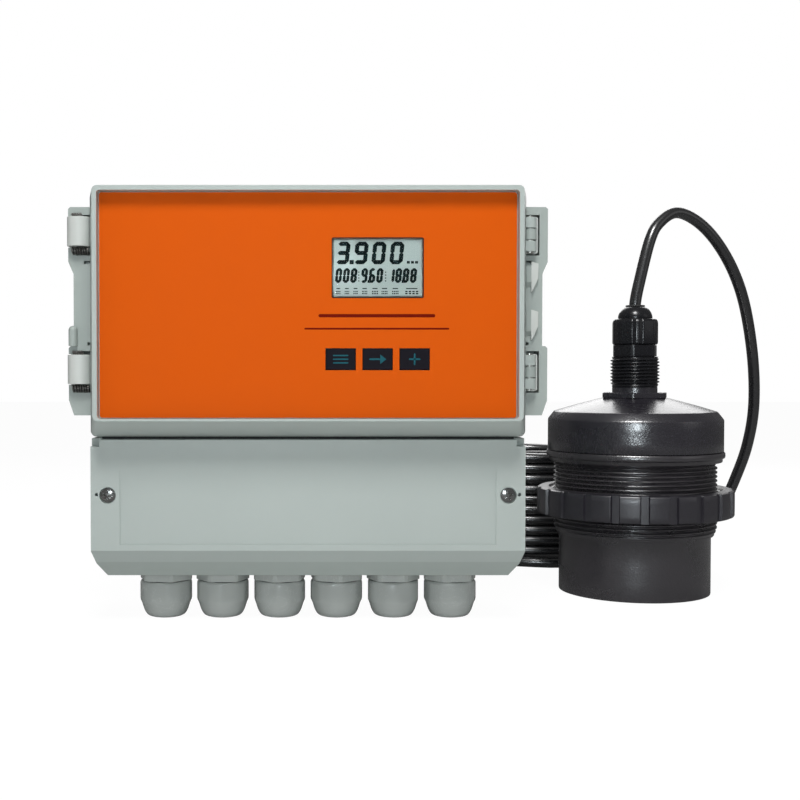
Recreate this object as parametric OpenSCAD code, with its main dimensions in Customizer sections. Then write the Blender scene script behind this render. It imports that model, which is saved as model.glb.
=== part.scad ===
// Split ultrasonic level meter: wall transmitter, threaded probe and probe cable.
// Millimetres. X runs to the right, Y away from the viewer, Z up. The floor is Z = 0.
// The transmitter stands on its six cable glands and the probe stands on its sensing end.

/* [Placement] */
// centre line of the transmitter along X
box_x = -59.8; // [-80:0.5:-30]
// plane of the transmitter's back wall along Y
box_back = 20; // [0:1:40]
// probe axis along X
probe_x = 121.8; // [100:0.5:140]
// probe axis along Y
probe_y = 32; // [10:1:50]
// centre of the cable coil along X
coil_x = 85.3; // [0:1:90]
// centre of the cable coil along Y
coil_y = 166; // [160:1:240]

/* [Transmitter case] */
// depth from the wall to the front of the lid
case_depth = 105; // [90:1:120]
// wall thickness of the mouldings
wall = 3; // [2:0.5:4]
// height of the case bottom above the floor
base_z = 23.5; // [20:0.5:28]
// height of the joint between cover and lid
split_z = 90; // [80:1:100]
// top of the lid
top_z = 207; // [195:1:220]
// half width of the lid at its front rim
lid_half = 99; // [90:1:105]
// half width of the lid at its back edge
lid_back_half = 104; // [99:1:108]
// lower edge of the lid at its front rim
lid_front_z = 99; // [95:1:105]
// depth of the lid
lid_depth = 24; // [18:1:30]
// depth of the recess that holds the front panel
recess = 6; // [3:0.5:8]
// width of the rim around the front panel
rim = 2.2; // [1.8:0.1:5]
// width of the rim below the front panel
rim_low = 1; // [0.8:0.1:5]
// half width of the terminal compartment
base_half = 103; // [98:1:106]
// thickness of the terminal cover
cover_depth = 5; // [4:0.5:10]

/* [Hinges and latches] */
// hinge axis, sideways from the case centre
hinge_x = 106; // [104:0.5:108]
// hinge axis, in front of the back wall
hinge_y = -80.5; // [-83:0.5:-79]
// radius of the hinge and latch pins
pin_r = 1.5; // [1:0.1:2.5]
// half width across the ears
ear_half = 115; // [113:0.5:118]
// half width across the side columns
column_half = 112.5; // [110:0.5:114]
// latch pin axis, sideways from the case centre
latch_x = 112.4; // [111:0.1:114]

/* [Display and keys] */
// display centre, sideways from the case centre
display_x = 32.2; // [0:0.1:60]
// height of the display centre
display_z = 169.7; // [150:0.1:190]
// width of the display window
display_w = 41.7; // [30:0.1:60]
// height of the display window
display_h = 27.1; // [20:0.1:40]
// height of the key row
key_z = 127.5; // [110:0.1:150]
// key pitch
key_pitch = 17.1; // [15:0.1:25]
// key width
key_w = 13.7; // [10:0.1:16]
// key height
key_h = 9.8; // [6:0.1:14]
// key travel
key_travel = 0.4; // [0.2:0.1:1]

/* [Cable glands] */
// distance between cable glands
gland_pitch = 28.4; // [26:0.1:32]
// row of cable glands, in front of the back wall
gland_y = -56; // [-65:1:-40]
// width across the flats of the gland collar
gland_flats = 24; // [20:0.5:27]
// radius of the gland thread
gland_thread_r = 10; // [8:0.5:12]
// radius of the hole that the cable passes through
gland_bore_r = 5; // [3:0.1:7]

/* [Probe] */
// radius of the main thread
thread_r = 43.95; // [40:0.05:50]
// lower end of the main thread
thread_z0 = 32.2; // [25:0.1:40]
// upper end of the main thread
thread_z1 = 72.5; // [60:0.1:90]
// radius of the sensing end
sleeve_r = 40.85; // [36:0.05:43]
// radius of the rim above the thread
rim_r = 48; // [46:0.1:52]
// radius of the upper cap
cap_r = 47.25; // [44:0.05:50]
// radius of the neck thread
neck_r = 13.22; // [10:0.01:17]
// radius of the plain relief below the neck thread
neck_relief_r = 12.3; // [9:0.1:13]
// outer radius of the ring nut
nut_r = 53; // [50:0.5:60]
// lower face of the ring nut
nut_z = 42.8; // [33:0.1:55]
// height of the ring nut
nut_h = 14.7; // [10:0.1:20]
// number of notches around the ring nut
notches = 22; // [8:1:24]

/* [Cable] */
// cable radius
cable_r = 3.2; // [2:0.1:5]
// mean radius of the coil
coil_r = 49; // [40:1:110]
// width of the wound bundle
bundle_w = 20; // [12:1:30]
// height of the wound bundle
bundle_h = 72; // [20:1:90]

/* [Output] */
// piece to build, or all of them

/* [Hidden] */
$fn = 64;
case_grey = [0.66, 0.70, 0.68];
probe_black = [0.06, 0.06, 0.065];
steel = [0.72, 0.72, 0.72];
board_green = [0.05, 0.30, 0.16];
front = -case_depth;
lid_back = front + lid_depth;
floor_front = front + recess;
base_front = front + 16 + cover_depth;
cover_front = front + 16;
ear_front = lid_back + 3;
latch_y = ear_front + 3;
ears = [[174.4, 200.6, 168.6], [108, 134, 100.7]];
pockets = [[177.4, 196.8], [111.6, 131.6]];
far = 400;

// Placing

module at_case() {
    translate([box_x, box_back, 0]) children();
}

module at_probe() {
    translate([probe_x, probe_y, 0]) children();
}

// Lays a drawing of X and Z flat against the plane y and gives it depth towards the viewer.
module face_plate(y, depth) {
    translate([0, y, 0]) rotate([90, 0, 0]) linear_extrude(depth) children();
}

// Extrudes a drawing of Y and Z from x to both sides.
module side_profile(half) {
    translate([-half, 0, 0]) rotate([90, 0, 90]) linear_extrude(2 * half) children();
}

// A rectangle with round corners between two heights, centred on X.
module frame_rect(half, z0, z1, r) {
    translate([-half, z0 + r]) square([2 * half, z1 - z0 - 2 * r]);
    translate([-half + r, z0]) square([2 * half - 2 * r, z1 - z0]);
    for (x = [-half + r, half - r], z = [z0 + r, z1 - r])
        translate([x, z]) circle(r);
}

// A box between two corners.
module box(low, high) {
    translate(low) cube(high - low);
}

module pole(x, y, z0, z1, r) {
    translate([x, y, z0]) cylinder(h = z1 - z0, r = r);
}

// A round pillar from the plane y towards the viewer.
module stud(x, z, y, length, r) {
    translate([x, y, z]) rotate([90, 0, 0]) cylinder(h = length, r = r);
}

module hexagon(flats, h) {
    cylinder(h = h, r = flats / 2 / cos(30), $fn = 6);
}

// Transmitter case

module case_outline() {
    polygon([[-base_half, split_z], [-base_half, 37.3], [-base_half + 2, 29.9],
        [-base_half + 6.4, base_z], [base_half - 6.4, base_z], [base_half - 2, 29.9],
        [base_half, 37.3], [base_half, split_z]]);
}

module lower_shell() {
    intersection() {
        side_profile(base_half + 1)
            polygon([[0, base_z], [-78, base_z], [base_front, 30.9],
                [base_front, split_z], [0, split_z]]);
        face_plate(1, case_depth) case_outline();
    }
}

module ear_outline(ear) {
    polygon([[101, ear[1]], [ear_half - 1, ear[1]], [ear_half, ear[1] - 1],
        [ear_half, ear[0]], [column_half, ear[2]], [101, ear[2]]]);
}

module side_column() {
    difference() {
        union() {
            box([101, ear_front, 100.7], [column_half, 0, 200.6]);
            for (ear = ears) face_plate(ear_front + 22, 22) ear_outline(ear);
        }
        box([104, -52, 103.2], [column_half - 2.5, 1, 198.1]);
        box([103, ear_front - 1, 173.4], [107.5, ear_front + 6, 174.9]);
        box([103, ear_front - 1, 134.4], [106, ear_front + 6, 135.8]);
        for (p = pockets) box([102, ear_front - 1, p[0]], [111, ear_front + 13, p[1]]);
    }
}

// Raised strip on the right column with a slanted lower end.
module column_rib(z0, z1) {
    translate([104.5, 0, 0]) rotate([90, 0, 90]) linear_extrude(4.8)
        polygon([[ear_front + 1, z1], [ear_front - 1.6, z1], [ear_front - 1.6, z0 + 4],
            [ear_front + 1, z0]]);
}

// Hook of the hinge that snaps on the pin, fixed to the back of its pocket.
module pin_hook(p) {
    z = (p[0] + p[1]) / 2;
    difference() {
        union() {
            pole(hinge_x, hinge_y, z - 2.6, z + 2.6, 3);
            box([hinge_x - 1.5, hinge_y + 1, z - 2.6], [hinge_x + 1.5, ear_front + 14, z + 2.6]);
        }
        pole(hinge_x, hinge_y, z - 3, z + 3, pin_r + 0.05);
        box([hinge_x - 4, hinge_y - 1, z - 3], [hinge_x, hinge_y + 1, z + 3]);
    }
}

// Room in the side of an ear for a latch lever and its barrel, and the holes for its pin.
module latch_room(p) {
    pole(-latch_x, latch_y, p[0] - 1.6, p[1] + 1.6, 1.25);
    box([-ear_half - 1, ear_front - 1, p[0] + 3.8], [-109, latch_y + 3.1, p[0] + 18.6]);
}

module rear_housing() {
    color(case_grey) at_case() difference() {
        union() {
            face_plate(0, -lid_back - 1) frame_rect(101.5, split_z - 1, top_z - 1.5, 5);
            lower_shell();
            side_column();
            mirror([1, 0, 0]) side_column();
            for (p = pockets) pin_hook(p);
            column_rib(160.5, 172.4);
            column_rib(137.2, 151.7);
            pole(-112.6, ear_front - 1.5, 134, 141.6, 2.1);
            translate([-112.6, ear_front - 1.5, 141.6]) sphere(2.1);
        }
        face_plate(-wall, far) frame_rect(98.5, 93, top_z - 4.5, 3);
        intersection() {
            side_profile(base_half - wall)
                polygon([[-wall, base_z + wall * 1.2], [-74.5, base_z + wall * 1.2],
                    [base_front + wall, 35.1], [base_front + wall, split_z - 3],
                    [-wall, split_z - 3]]);
            translate([0, 0.01, wall * 1.2]) face_plate(0, far) case_outline();
        }
        face_plate(base_front + wall + 1, 10) frame_rect(87.6, 35.6, 86.4, 1);
        for (p = pockets) latch_room(p);
        for (x = [-60, 60]) box([x - 8, -40, split_z - 4], [x + 8, -30, 94]);
        for (x = [-90, 90], z = [38, 192]) stud(x, z, 1, 12, 2.6);
        for (i = [0:5]) pole((i - 2.5) * gland_pitch, gland_y, base_z - 1, base_z + 4,
            gland_thread_r + 0.15);
        for (x = [-94.8, 94.8]) stud(x, 63.2, -60, 40, 1.55);
    }
    color(case_grey) at_case() {
        for (x = [-68, 68], z = [115, 185]) board_post(x, z);
        for (x = [-76, 76], z = [64]) board_post(x, z);
        for (x = [-94.8, 94.8]) cover_post(x);
    }
}

module board_post(x, z) {
    difference() {
        stud(x, z, -wall + 0.5, 11.5, 4);
        stud(x, z, -wall - 2, 10, 1.5);
    }
}

module cover_post(x) {
    difference() {
        box([min(x - 5, x + 5), base_front, 56], [max(x - 5, x + 5), -wall + 0.5, 70.4]);
        stud(x, 63.2, -60, 40, 1.55);
    }
}

// Lid

// The lid's outer shape, smaller by inset on every side, from the plane y0 back to y1.
module lid_block(inset, y0, y1, r) {
    shrink = (lid_back_half - lid_half) / lid_depth;
    hull() {
        face_plate(y1, 0.1)
            frame_rect(lid_back_half - inset - shrink * (lid_back - y1),
                split_z + 1 + inset, top_z - inset, r);
        face_plate(lid_back - 6, 0.1)
            frame_rect(lid_back_half - inset - shrink * 6, split_z + 1 + inset,
                top_z - inset, r);
        face_plate(y0 + 0.1, 0.1)
            frame_rect(lid_back_half - inset - shrink * (lid_back - y0),
                lid_front_z + inset, top_z - inset, r);
    }
}

module hinge_knuckles(p) {
    z = (p[0] + p[1]) / 2;
    for (s = [-5.6, 5.6]) {
        pole(hinge_x, hinge_y, z + s - 2.5, z + s + 2.5, 3);
        box([101.6, hinge_y - 3, z + s - 2.5], [hinge_x, hinge_y - 0.6, z + s + 2.5]);
    }
}

module key_places() {
    for (i = [-1:1]) translate([display_x + i * key_pitch, key_z]) children();
}

module lid_post_places() {
    for (x = [display_x - 34, display_x + 34], z = [key_z - 12, display_z + 22])
        translate([x, z]) children();
}

module display_lid() {
    color(case_grey) at_case() difference() {
        union() {
            difference() {
                lid_block(0, front, lid_back, 2.5);
                face_plate(floor_front, recess + 1)
                    frame_rect(lid_half - rim, lid_front_z + rim_low, top_z - rim, 1.5);
                lid_block(2.6, floor_front + 2.5, lid_back + 1, 3);
            }
            face_plate(lid_back, 3) difference() {
                frame_rect(lid_back_half - 1.5, split_z + 2, top_z - 1, 4);
                frame_rect(95, 98.5, 200, 3);
            }
            face_plate(floor_front + 8.5, 6.5) lid_post_places() circle(3);
            for (p = pockets) hinge_knuckles(p);
        }
        face_plate(lid_back + 1, 2.9) difference() {
            frame_rect(101.6, split_z + 2.4, top_z - 1.4, 4);
            frame_rect(97.4, 96.6, top_z - 5.6, 3);
        }
        face_plate(lid_back - 3, far) {
            translate([display_x, display_z])
                square([display_w + 0.6, display_h + 0.6], center = true);
            key_places() square([key_w + 0.5, key_h + 0.5], center = true);
        }
        face_plate(floor_front + 9, 6) lid_post_places() circle(1.1);
        for (p = pockets) {
            z = (p[0] + p[1]) / 2;
            pole(hinge_x, hinge_y, z - 9, z + 9, pin_r + 0.02);
            pole(hinge_x, hinge_y, z - 3.1, z + 3.1, 3.8);
        }
    }
}

module lid_gasket() {
    color([0.12, 0.12, 0.12]) at_case() face_plate(lid_back + 0.9, 2.7) difference() {
        frame_rect(101.4, split_z + 2.6, top_z - 1.6, 4);
        frame_rect(97.6, 96.4, top_z - 5.4, 3);
    }
}

module front_panel() {
    color([0.90, 0.36, 0.06]) at_case() face_plate(floor_front - 0.05, 0.8) difference() {
        frame_rect(lid_half - rim - 0.4, lid_front_z + rim_low + 0.4,
            top_z - rim - 0.4, 1.2);
        translate([display_x, display_z]) square([display_w, display_h], center = true);
        key_places() square([key_w + 0.4, key_h + 0.4], center = true);
    }
}

module display_window() {
    color([0.75, 0.82, 0.82, 0.35]) at_case() face_plate(floor_front + 0.3, 1)
        translate([display_x, display_z]) square([display_w - 0.1, display_h - 0.1], center = true);
}

module lcd_module() {
    color([0.62, 0.70, 0.68]) at_case() {
        face_plate(floor_front + 5, 4.6) translate([display_x, display_z])
            square([display_w - 1, display_h - 1], center = true);
        face_plate(floor_front + 8.4, 5.3) translate([display_x, display_z - 0.5])
            square([display_w + 10, display_h + 9], center = true);
    }
}

module display_board() {
    color(board_green) at_case() {
        face_plate(floor_front + 10.1, 1.6) difference() {
            translate([display_x, (key_z + display_z) / 2 + 5]) square([78, 78], center = true);
            lid_post_places() circle(1.7);
        }
        for (i = [-1:1]) translate([display_x + i * key_pitch, 0, key_z])
            box([-3, floor_front + 5.2, -3], [3, floor_front + 8.6, 3]);
    }
}

// Pan heads behind the display board, each with its shank in a lid post.
module display_screws() {
    color(steel) at_case() lid_post_screws();
}

module lid_post_screws() {
    for (x = [display_x - 34, display_x + 34], z = [key_z - 12, display_z + 22]) {
        stud(x, z, floor_front + 12, 1.8, 2.6);
        stud(x, z, floor_front + 10.3, 6, 1.05);
    }
}

module key_cap(i) {
    color([0.07, 0.08, 0.11]) at_case() {
        face_plate(floor_front + 3.2, 4.2) translate([display_x + i * key_pitch, key_z])
            square([key_w, key_h], center = true);
        face_plate(floor_front + 4.6, 1.6) translate([display_x + i * key_pitch, key_z])
            square([4, 4], center = true);
    }
}

module key_menu() key_cap(-1);

module key_next() key_cap(0);

module key_plus() key_cap(1);

module hinge_pin(p) {
    z = (p[0] + p[1]) / 2;
    color(steel) at_case() pole(hinge_x, hinge_y, z - 8.8, z + 8.8, pin_r);
}

module hinge_pin_upper() hinge_pin(pockets[0]);

module hinge_pin_lower() hinge_pin(pockets[1]);

// Latches

module latch_lever(p) {
    color([0.74, 0.77, 0.75]) at_case() difference() {
        union() {
            translate([0, 0, p[0] + 4.2]) linear_extrude(14) intersection() {
                translate([-109.6, ear_front - 0.4]) circle(5.7);
                translate([-120, ear_front - 20]) square([40, 19]);
            }
            pole(-latch_x, latch_y, p[0] + 4.2, p[0] + 18.2, 2.5);
            box([-latch_x - 2.5, ear_front - 1.4, p[0] + 4.2],
                [-latch_x + 2.5, latch_y, p[0] + 18.2]);
        }
        pole(-latch_x, latch_y, p[0] - 2, p[1] + 2, 1.25);
    }
}

module latch_lever_upper() latch_lever(pockets[0]);

module latch_lever_lower() latch_lever(pockets[1]);

module latch_pin(p) {
    color(steel) at_case() pole(-latch_x, latch_y, p[0] - 1.4, p[1] + 1.4, 1.2);
}

module latch_pin_upper() latch_pin(pockets[0]);

module latch_pin_lower() latch_pin(pockets[1]);

// Terminal cover

module cover_outline() {
    intersection() {
        side_profile(base_half - 0.2)
            polygon([[base_front - 0.2, 30.9], [cover_front, 37], [cover_front, split_z - 0.4],
                [base_front - 0.2, split_z - 0.4]]);
        face_plate(1, case_depth) case_outline();
    }
}

module terminal_cover() {
    color(case_grey) at_case() difference() {
        cover_outline();
        box([-base_half + 12, base_front - 2.6, 40], [base_half - 12, far, split_z - 3]);
        side_profile(89) polygon([[cover_front + 0.8, 39.7], [cover_front - 1, 39.7],
            [cover_front - 1, 77], [cover_front, 77], [cover_front + 0.8, 70]]);
        for (s = [-1, 1]) {
            stud(s * 94.8, 63.2, cover_front + 2.2, 9, 3.9);
            stud(s * 94.8, 63.2, 0, far, 1.75);
            stud(s * 100, 63.6, 0, far, 0.85);
            box([s * 101 - 2.4, -far, split_z - 3.6], [s * 101 + 2.4, 0, split_z + 1]);
        }
        face_plate(base_front + 1, 2.2) difference() {
            frame_rect(90, 33, split_z - 1.6, 3);
            frame_rect(87.6, 35.4, split_z - 4, 2);
        }
    }
}

module cover_gasket() {
    color([0.12, 0.12, 0.12]) at_case() face_plate(base_front - 0.1, 1) difference() {
        frame_rect(89.9, 33.1, split_z - 1.7, 3);
        frame_rect(87.7, 35.3, split_z - 3.9, 2);
    }
}

module cover_screws() {
    color(steel) at_case() for (x = [-94.8, 94.8]) {
        stud(x, 63.2, cover_front + 2, 1.9, 3.5);
        stud(x, 63.2, cover_front + 16, 15, 1.5);
    }
}

// Boards

module main_board() {
    color(board_green) at_case() face_plate(-14.1, 1.6) difference() {
        translate([-76, 107]) square([152, 86]);
        for (x = [-68, 68], z = [115, 185]) translate([x, z]) circle(1.7);
    }
}

module power_module() {
    color([0.09, 0.10, 0.12]) at_case() box([-62, -39.8, 122], [-14, -15.8, 158]);
}

module relay(x) {
    color([0.10, 0.22, 0.50]) at_case() box([x, -31.8, 122], [x + 16, -15.8, 150]);
}

module relay_left() relay(4);

module relay_right() relay(28);

module terminal_board() {
    color(board_green) at_case() face_plate(-14.1, 1.6) difference() {
        translate([-82, 44]) square([164, 40]);
        for (x = [-76, 76]) translate([x, 64]) circle(1.7);
    }
}

// A row of clamps: a stepped body with one wire entry and one screw well for each way.
module terminal_row(x, ways) {
    color([0.10, 0.42, 0.22]) at_case() difference() {
        translate([x, 0, 0]) rotate([90, 0, 90]) linear_extrude(ways * 5.08)
            polygon([[-15.8, 52], [-30, 52], [-30, 60], [-26, 62], [-26, 70], [-15.8, 70]]);
        for (i = [0:ways - 1]) {
            pole(x + (i + 0.5) * 5.08, -22, 51, 56, 1.5);
            stud(x + (i + 0.5) * 5.08, 66, -22, 6, 1.5);
        }
    }
}

module power_terminals() terminal_row(-64, 6);

module signal_terminals() terminal_row(-14, 14);

module board_screws() {
    color(steel) at_case() {
        for (x = [-68, 68], z = [115, 185]) board_screw(x, z);
        for (x = [-76, 76]) board_screw(x, 64);
    }
}

module board_screw(x, z) {
    stud(x, z, -15.8, 1.8, 3);
    stud(x, z, -8, 8, 1.4);
}

// Cable glands of the case

module gland_at(i) {
    translate([(i - 3.5) * gland_pitch, gland_y, 0]) children();
}

module gland_body(i) {
    color([0.60, 0.62, 0.61]) at_case() gland_at(i) difference() {
        union() {
            intersection() {
                translate([0, 0, 18.2]) rotate(30 + i * 17) hexagon(gland_flats, base_z - 18.2);
                translate([0, 0, 18]) cylinder(h = 6, r = 13.2);
            }
            cylinder_from(base_z - 1, 34, gland_thread_r);
            cylinder_from(14, 18.5, 9.4);
            cylinder_from(6, 14.5, 8.6);
        }
        cylinder_from(15, 35, 6.8);
        cylinder_from(5, 15.5, 7.55);
    }
}

module cylinder_from(z0, z1, r) {
    translate([0, 0, z0]) cylinder(h = z1 - z0, r = r);
}

module gland_seal(i) {
    color([0.10, 0.10, 0.10]) at_case() gland_at(i) difference() {
        cylinder_from(3.4, 14.6, 7.5);
        cylinder_from(3, 15, gland_bore_r);
    }
}

module gland_cap(i) {
    color([0.60, 0.62, 0.61]) at_case() gland_at(i) difference() {
        union() {
            rotate_extrude() polygon([[0, 0], [7.8, 0], [9.3, 0.6], [10.2, 1.8], [10.9, 3.2],
                [11.4, 4.6], [11.9, 6.2], [12.2, 7.4], [12.2, 8.4], [0, 8.4]]);
            intersection() {
                rotate(i * 23) translate([0, 0, 7.6]) hexagon(25, 11);
                rotate_extrude() polygon([[0, 7.7], [12.1, 7.7], [12.9, 8.8], [12.9, 17],
                    [12.2, 18], [0, 18]]);
            }
        }
        cylinder_from(-1, 3.3, 6.3);
        cylinder_from(3.2, 19, 9.6);
    }
}

module gland_body_1() gland_body(1);

module gland_body_2() gland_body(2);

module gland_body_3() gland_body(3);

module gland_body_4() gland_body(4);

module gland_body_5() gland_body(5);

module gland_body_6() gland_body(6);

module gland_seal_1() gland_seal(1);

module gland_seal_2() gland_seal(2);

module gland_seal_3() gland_seal(3);

module gland_seal_4() gland_seal(4);

module gland_seal_5() gland_seal(5);

module gland_seal_6() gland_seal(6);

module gland_cap_1() gland_cap(1);

module gland_cap_2() gland_cap(2);

module gland_cap_3() gland_cap(3);

module gland_cap_4() gland_cap(4);

module gland_cap_5() gland_cap(5);

module gland_cap_6() gland_cap(6);

module gland_locknuts() {
    color([0.60, 0.62, 0.61]) at_case() for (i = [1:6]) gland_at(i) difference() {
        translate([0, 0, base_z + wall * 1.2 + 0.05]) rotate(30) hexagon(24, 5);
        cylinder_from(base_z, 40, gland_thread_r + 0.05);
    }
}

// Probe

module ring_between(z0, z1, outer, inner) {
    difference() {
        cylinder_from(z0, z1, outer);
        cylinder_from(z0 - 1, z1 + 1, inner);
    }
}

// Sleeve, main thread and rim are one moulding; the thread is its major diameter here.
module probe_body() {
    color(probe_black) at_probe() rotate_extrude() polygon([[36, 0], [sleeve_r - 0.6, 0],
        [sleeve_r, 0.6], [sleeve_r, thread_z0], [thread_r - 0.8, thread_z0],
        [thread_r, thread_z0 + 0.8], [thread_r, thread_z1], [46.6, thread_z1],
        [46.6, 74.4], [rim_r - 0.4, 74.6], [rim_r, 75], [rim_r, 77.6], [rim_r - 0.4, 78],
        [36, 78]]);
}

module sensing_face() {
    color([0.14, 0.14, 0.15]) at_probe() cylinder_from(0.6, 6, 35.9);
}

module piezo_disc() {
    color([0.80, 0.74, 0.55]) at_probe() cylinder_from(6.1, 16, 25);
}

module probe_cap() {
    color(probe_black) at_probe() {
        rotate_extrude() polygon([[33, 70], [35.9, 70], [35.9, 78.1], [cap_r - 0.5, 78.1],
            [cap_r, 78.6], [cap_r, 95.3], [46.6, 97.6], [45.3, 99], [43.6, 99.7],
            [33.1, 103], [19.7, 106.4], [19.2, 107.2], [neck_r + 1.4, 107.2],
            [neck_r + 1.4, 109], [neck_relief_r, 109], [neck_relief_r, 112.5],
            [neck_r, 112.5], [neck_r, 129.6], [neck_r - 0.6, 130],
            [8, 130], [8, 103], [33, 94]]);
        difference() {
            translate([0, 0, 107]) rotate(12) hexagon(33.7, 3.1);
            cylinder_from(106, 111, neck_relief_r - 1);
        }
    }
}

module ring_nut() {
    color(probe_black) at_probe() difference() {
        union() {
            ring_between(nut_z, nut_z + nut_h, nut_r - 0.8, thread_r + 0.08);
            ring_between(nut_z + 0.8, nut_z + nut_h - 0.8, nut_r, thread_r + 3);
        }
        for (i = [0:notches - 1]) rotate(-99.2 + i * 360 / notches)
            translate([nut_r - 1.6, -2.2, nut_z - 1]) cube([6, 4.4, nut_h + 2]);
    }
}

module probe_gland_body() {
    color(probe_black) at_probe() difference() {
        union() {
            cylinder_from(112, 131, 7.9);
            intersection() {
                translate([0, 0, 130.05]) rotate(8) hexagon(22.4, 6.3);
                cylinder_from(130, 137, 12.2);
            }
            cylinder_from(136, 148, 8.6);
        }
        cylinder_from(111, 139.5, 5);
        cylinder_from(139, 149, 6.6);
    }
}

module probe_gland_seal() {
    color([0.16, 0.16, 0.16]) at_probe() ring_between(139.7, 150, 6.5, cable_r + 0.04);
}

module probe_gland_cap() {
    color(probe_black) at_probe() difference() {
        union() {
            intersection() {
                translate([0, 0, 136.6]) rotate(22) hexagon(23.8, 14.3);
                rotate_extrude() polygon([[0, 136.5], [11.6, 136.5], [12.3, 137.3],
                    [12.3, 149.6], [10.8, 150.9], [0, 150.9]]);
            }
            rotate_extrude() polygon([[0, 150], [9.3, 150], [9.1, 152.6], [8.2, 155],
                [6.9, 156.8], [5.6, 157.6], [0, 157.6]]);
        }
        cylinder_from(136, 150.2, 9);
        cylinder_from(150, 158, cable_r + 0.5);
    }
}

// Cable

ROUTE = [[121.8, 32, 141], [121.8, 32, 152], [121.8, 32, 160], [124.4, 33, 172],
    [130.6, 35, 195], [136.8, 38, 205], [147.1, 42, 211], [160.6, 48, 207], [174, 54, 196],
    [186.6, 61, 179], [196.1, 68, 158], [203.7, 76, 128], [207.3, 84, 100], [205.8, 90, 77],
    [201.2, 95, 58], [195.5, 99, 42], [186.9, 104, 26], [175.2, 108, 12], [159.3, 110, 4.6],
    [141.5, 108, 3.5], [123, 106, 3.5], [106, 104.5, 3.5], [89.3, 103.6, 3.5]];
STEPS = 3;
SIDES = 10;

// A point of the smooth curve through the route, a fraction t past its point i.
function curve_point(i, t) =
    let (n = len(ROUTE) - 1,
        a = ROUTE[max(i - 1, 0)], b = ROUTE[i], c = ROUTE[min(i + 1, n)],
        d = ROUTE[min(i + 2, n)])
    0.5 * (2 * b + (c - a) * t + (2 * a - 5 * b + 4 * c - d) * t * t
        + (3 * b - a - 3 * c + d) * t * t * t);

function unit(v) = v / norm(v);

// The line of the cable, a point at a time.
function line_points() = [for (k = [0:(len(ROUTE) - 1) * STEPS])
    curve_point(min(floor(k / STEPS), len(ROUTE) - 2),
        k / STEPS - min(floor(k / STEPS), len(ROUTE) - 2))];

// Corners of the ring around point k of the line.
function ring_points(line, k) =
    let (t = unit(line[min(k + 1, len(line) - 1)] - line[max(k - 1, 0)]),
        side = unit(cross(t, [0, 1, 0])), up = cross(t, side))
    [for (s = [0:SIDES - 1]) line[k] + cable_r * (cos(s * 360 / SIDES) * side
        + sin(s * 360 / SIDES) * up)];

module probe_cable() {
    line = line_points();
    rings = len(line);
    color([0.05, 0.05, 0.05]) polyhedron(
        points = [for (k = [0:rings - 1]) each ring_points(line, k)],
        faces = [[for (s = [0:SIDES - 1]) s],
            for (k = [0:rings - 2], s = [0:SIDES - 1])
                [k * SIDES + s, (k + 1) * SIDES + s,
                    (k + 1) * SIDES + (s + 1) % SIDES, k * SIDES + (s + 1) % SIDES],
            [for (s = [0:SIDES - 1]) rings * SIDES - 1 - s]]);
}

// The wound part of the cable, with round shoulders where the turns pile up.
module cable_coil() {
    color([0.05, 0.05, 0.05]) translate([coil_x, coil_y, 0]) rotate_extrude($fn = 96)
        polygon([[coil_r - bundle_w / 2, 5], [coil_r - bundle_w / 2 + 3.5, 1.5],
            [coil_r + bundle_w / 2 - 3.5, 1.5], [coil_r + bundle_w / 2, 5],
            [coil_r + bundle_w / 2, bundle_h - 4], [coil_r + bundle_w / 2 - 4, bundle_h],
            [coil_r - bundle_w / 2 + 4, bundle_h], [coil_r - bundle_w / 2, bundle_h - 4]]);
}

module cable_tie(angle) {
    translate([coil_x, coil_y, 0]) rotate(angle) translate([coil_r, 2, 0])
        rotate([90, 0, 0]) linear_extrude(4) difference() {
            translate([-bundle_w / 2 - 1.4, 0])
                square([bundle_w + 2.8, bundle_h + 1.4]);
            translate([-bundle_w / 2 - 0.1, 1.3])
                square([bundle_w + 0.2, bundle_h - 1.2]);
        }
}

module cable_ties() {
    color([0.10, 0.10, 0.10]) for (a = [15, 250]) cable_tie(a);
}

// The last of the cable: it lies across the coil and ends in four stripped cores.
module cable_end() {
    color([0.05, 0.05, 0.05]) translate([coil_x - coil_r + 7, coil_y - 10, bundle_h + cable_r])
        rotate([-90, 0, 0]) cylinder(h = 40, r = cable_r);
}

module cable_cores() {
    color([0.55, 0.12, 0.08])
        translate([coil_x - coil_r + 7, coil_y + 30, bundle_h + cable_r])
            for (i = [0:3]) rotate([0, 45 + i * 90, 0]) translate([1.6, 0, 0])
                rotate([-90, 0, 0]) cylinder(h = 25, r = 0.9);
}

rear_housing();
display_lid();
lid_gasket();
front_panel();
display_window();
lcd_module();
display_board();
display_screws();
key_menu();
key_next();
key_plus();
hinge_pin_upper();
hinge_pin_lower();
latch_lever_upper();
latch_lever_lower();
latch_pin_upper();
latch_pin_lower();
terminal_cover();
cover_gasket();
cover_screws();
main_board();
power_module();
relay_left();
relay_right();
terminal_board();
power_terminals();
signal_terminals();
board_screws();
gland_body_1();
gland_body_2();
gland_body_3();
gland_body_4();
gland_body_5();
gland_body_6();
gland_seal_1();
gland_seal_2();
gland_seal_3();
gland_seal_4();
gland_seal_5();
gland_seal_6();
gland_cap_1();
gland_cap_2();
gland_cap_3();
gland_cap_4();
gland_cap_5();
gland_cap_6();
gland_locknuts();
probe_body();
sensing_face();
piezo_disc();
probe_cap();
ring_nut();
probe_gland_body();
probe_gland_seal();
probe_gland_cap();
probe_cable();
cable_coil();
cable_ties();
cable_end();
cable_cores();
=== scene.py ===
"""Looks of a split ultrasonic level meter: wall transmitter, threaded probe and cable.

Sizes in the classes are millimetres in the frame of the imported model. X runs to the right,
Y away from the viewer and Z up. Meshes are turned into metres when they are made.
"""

from __future__ import annotations

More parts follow.
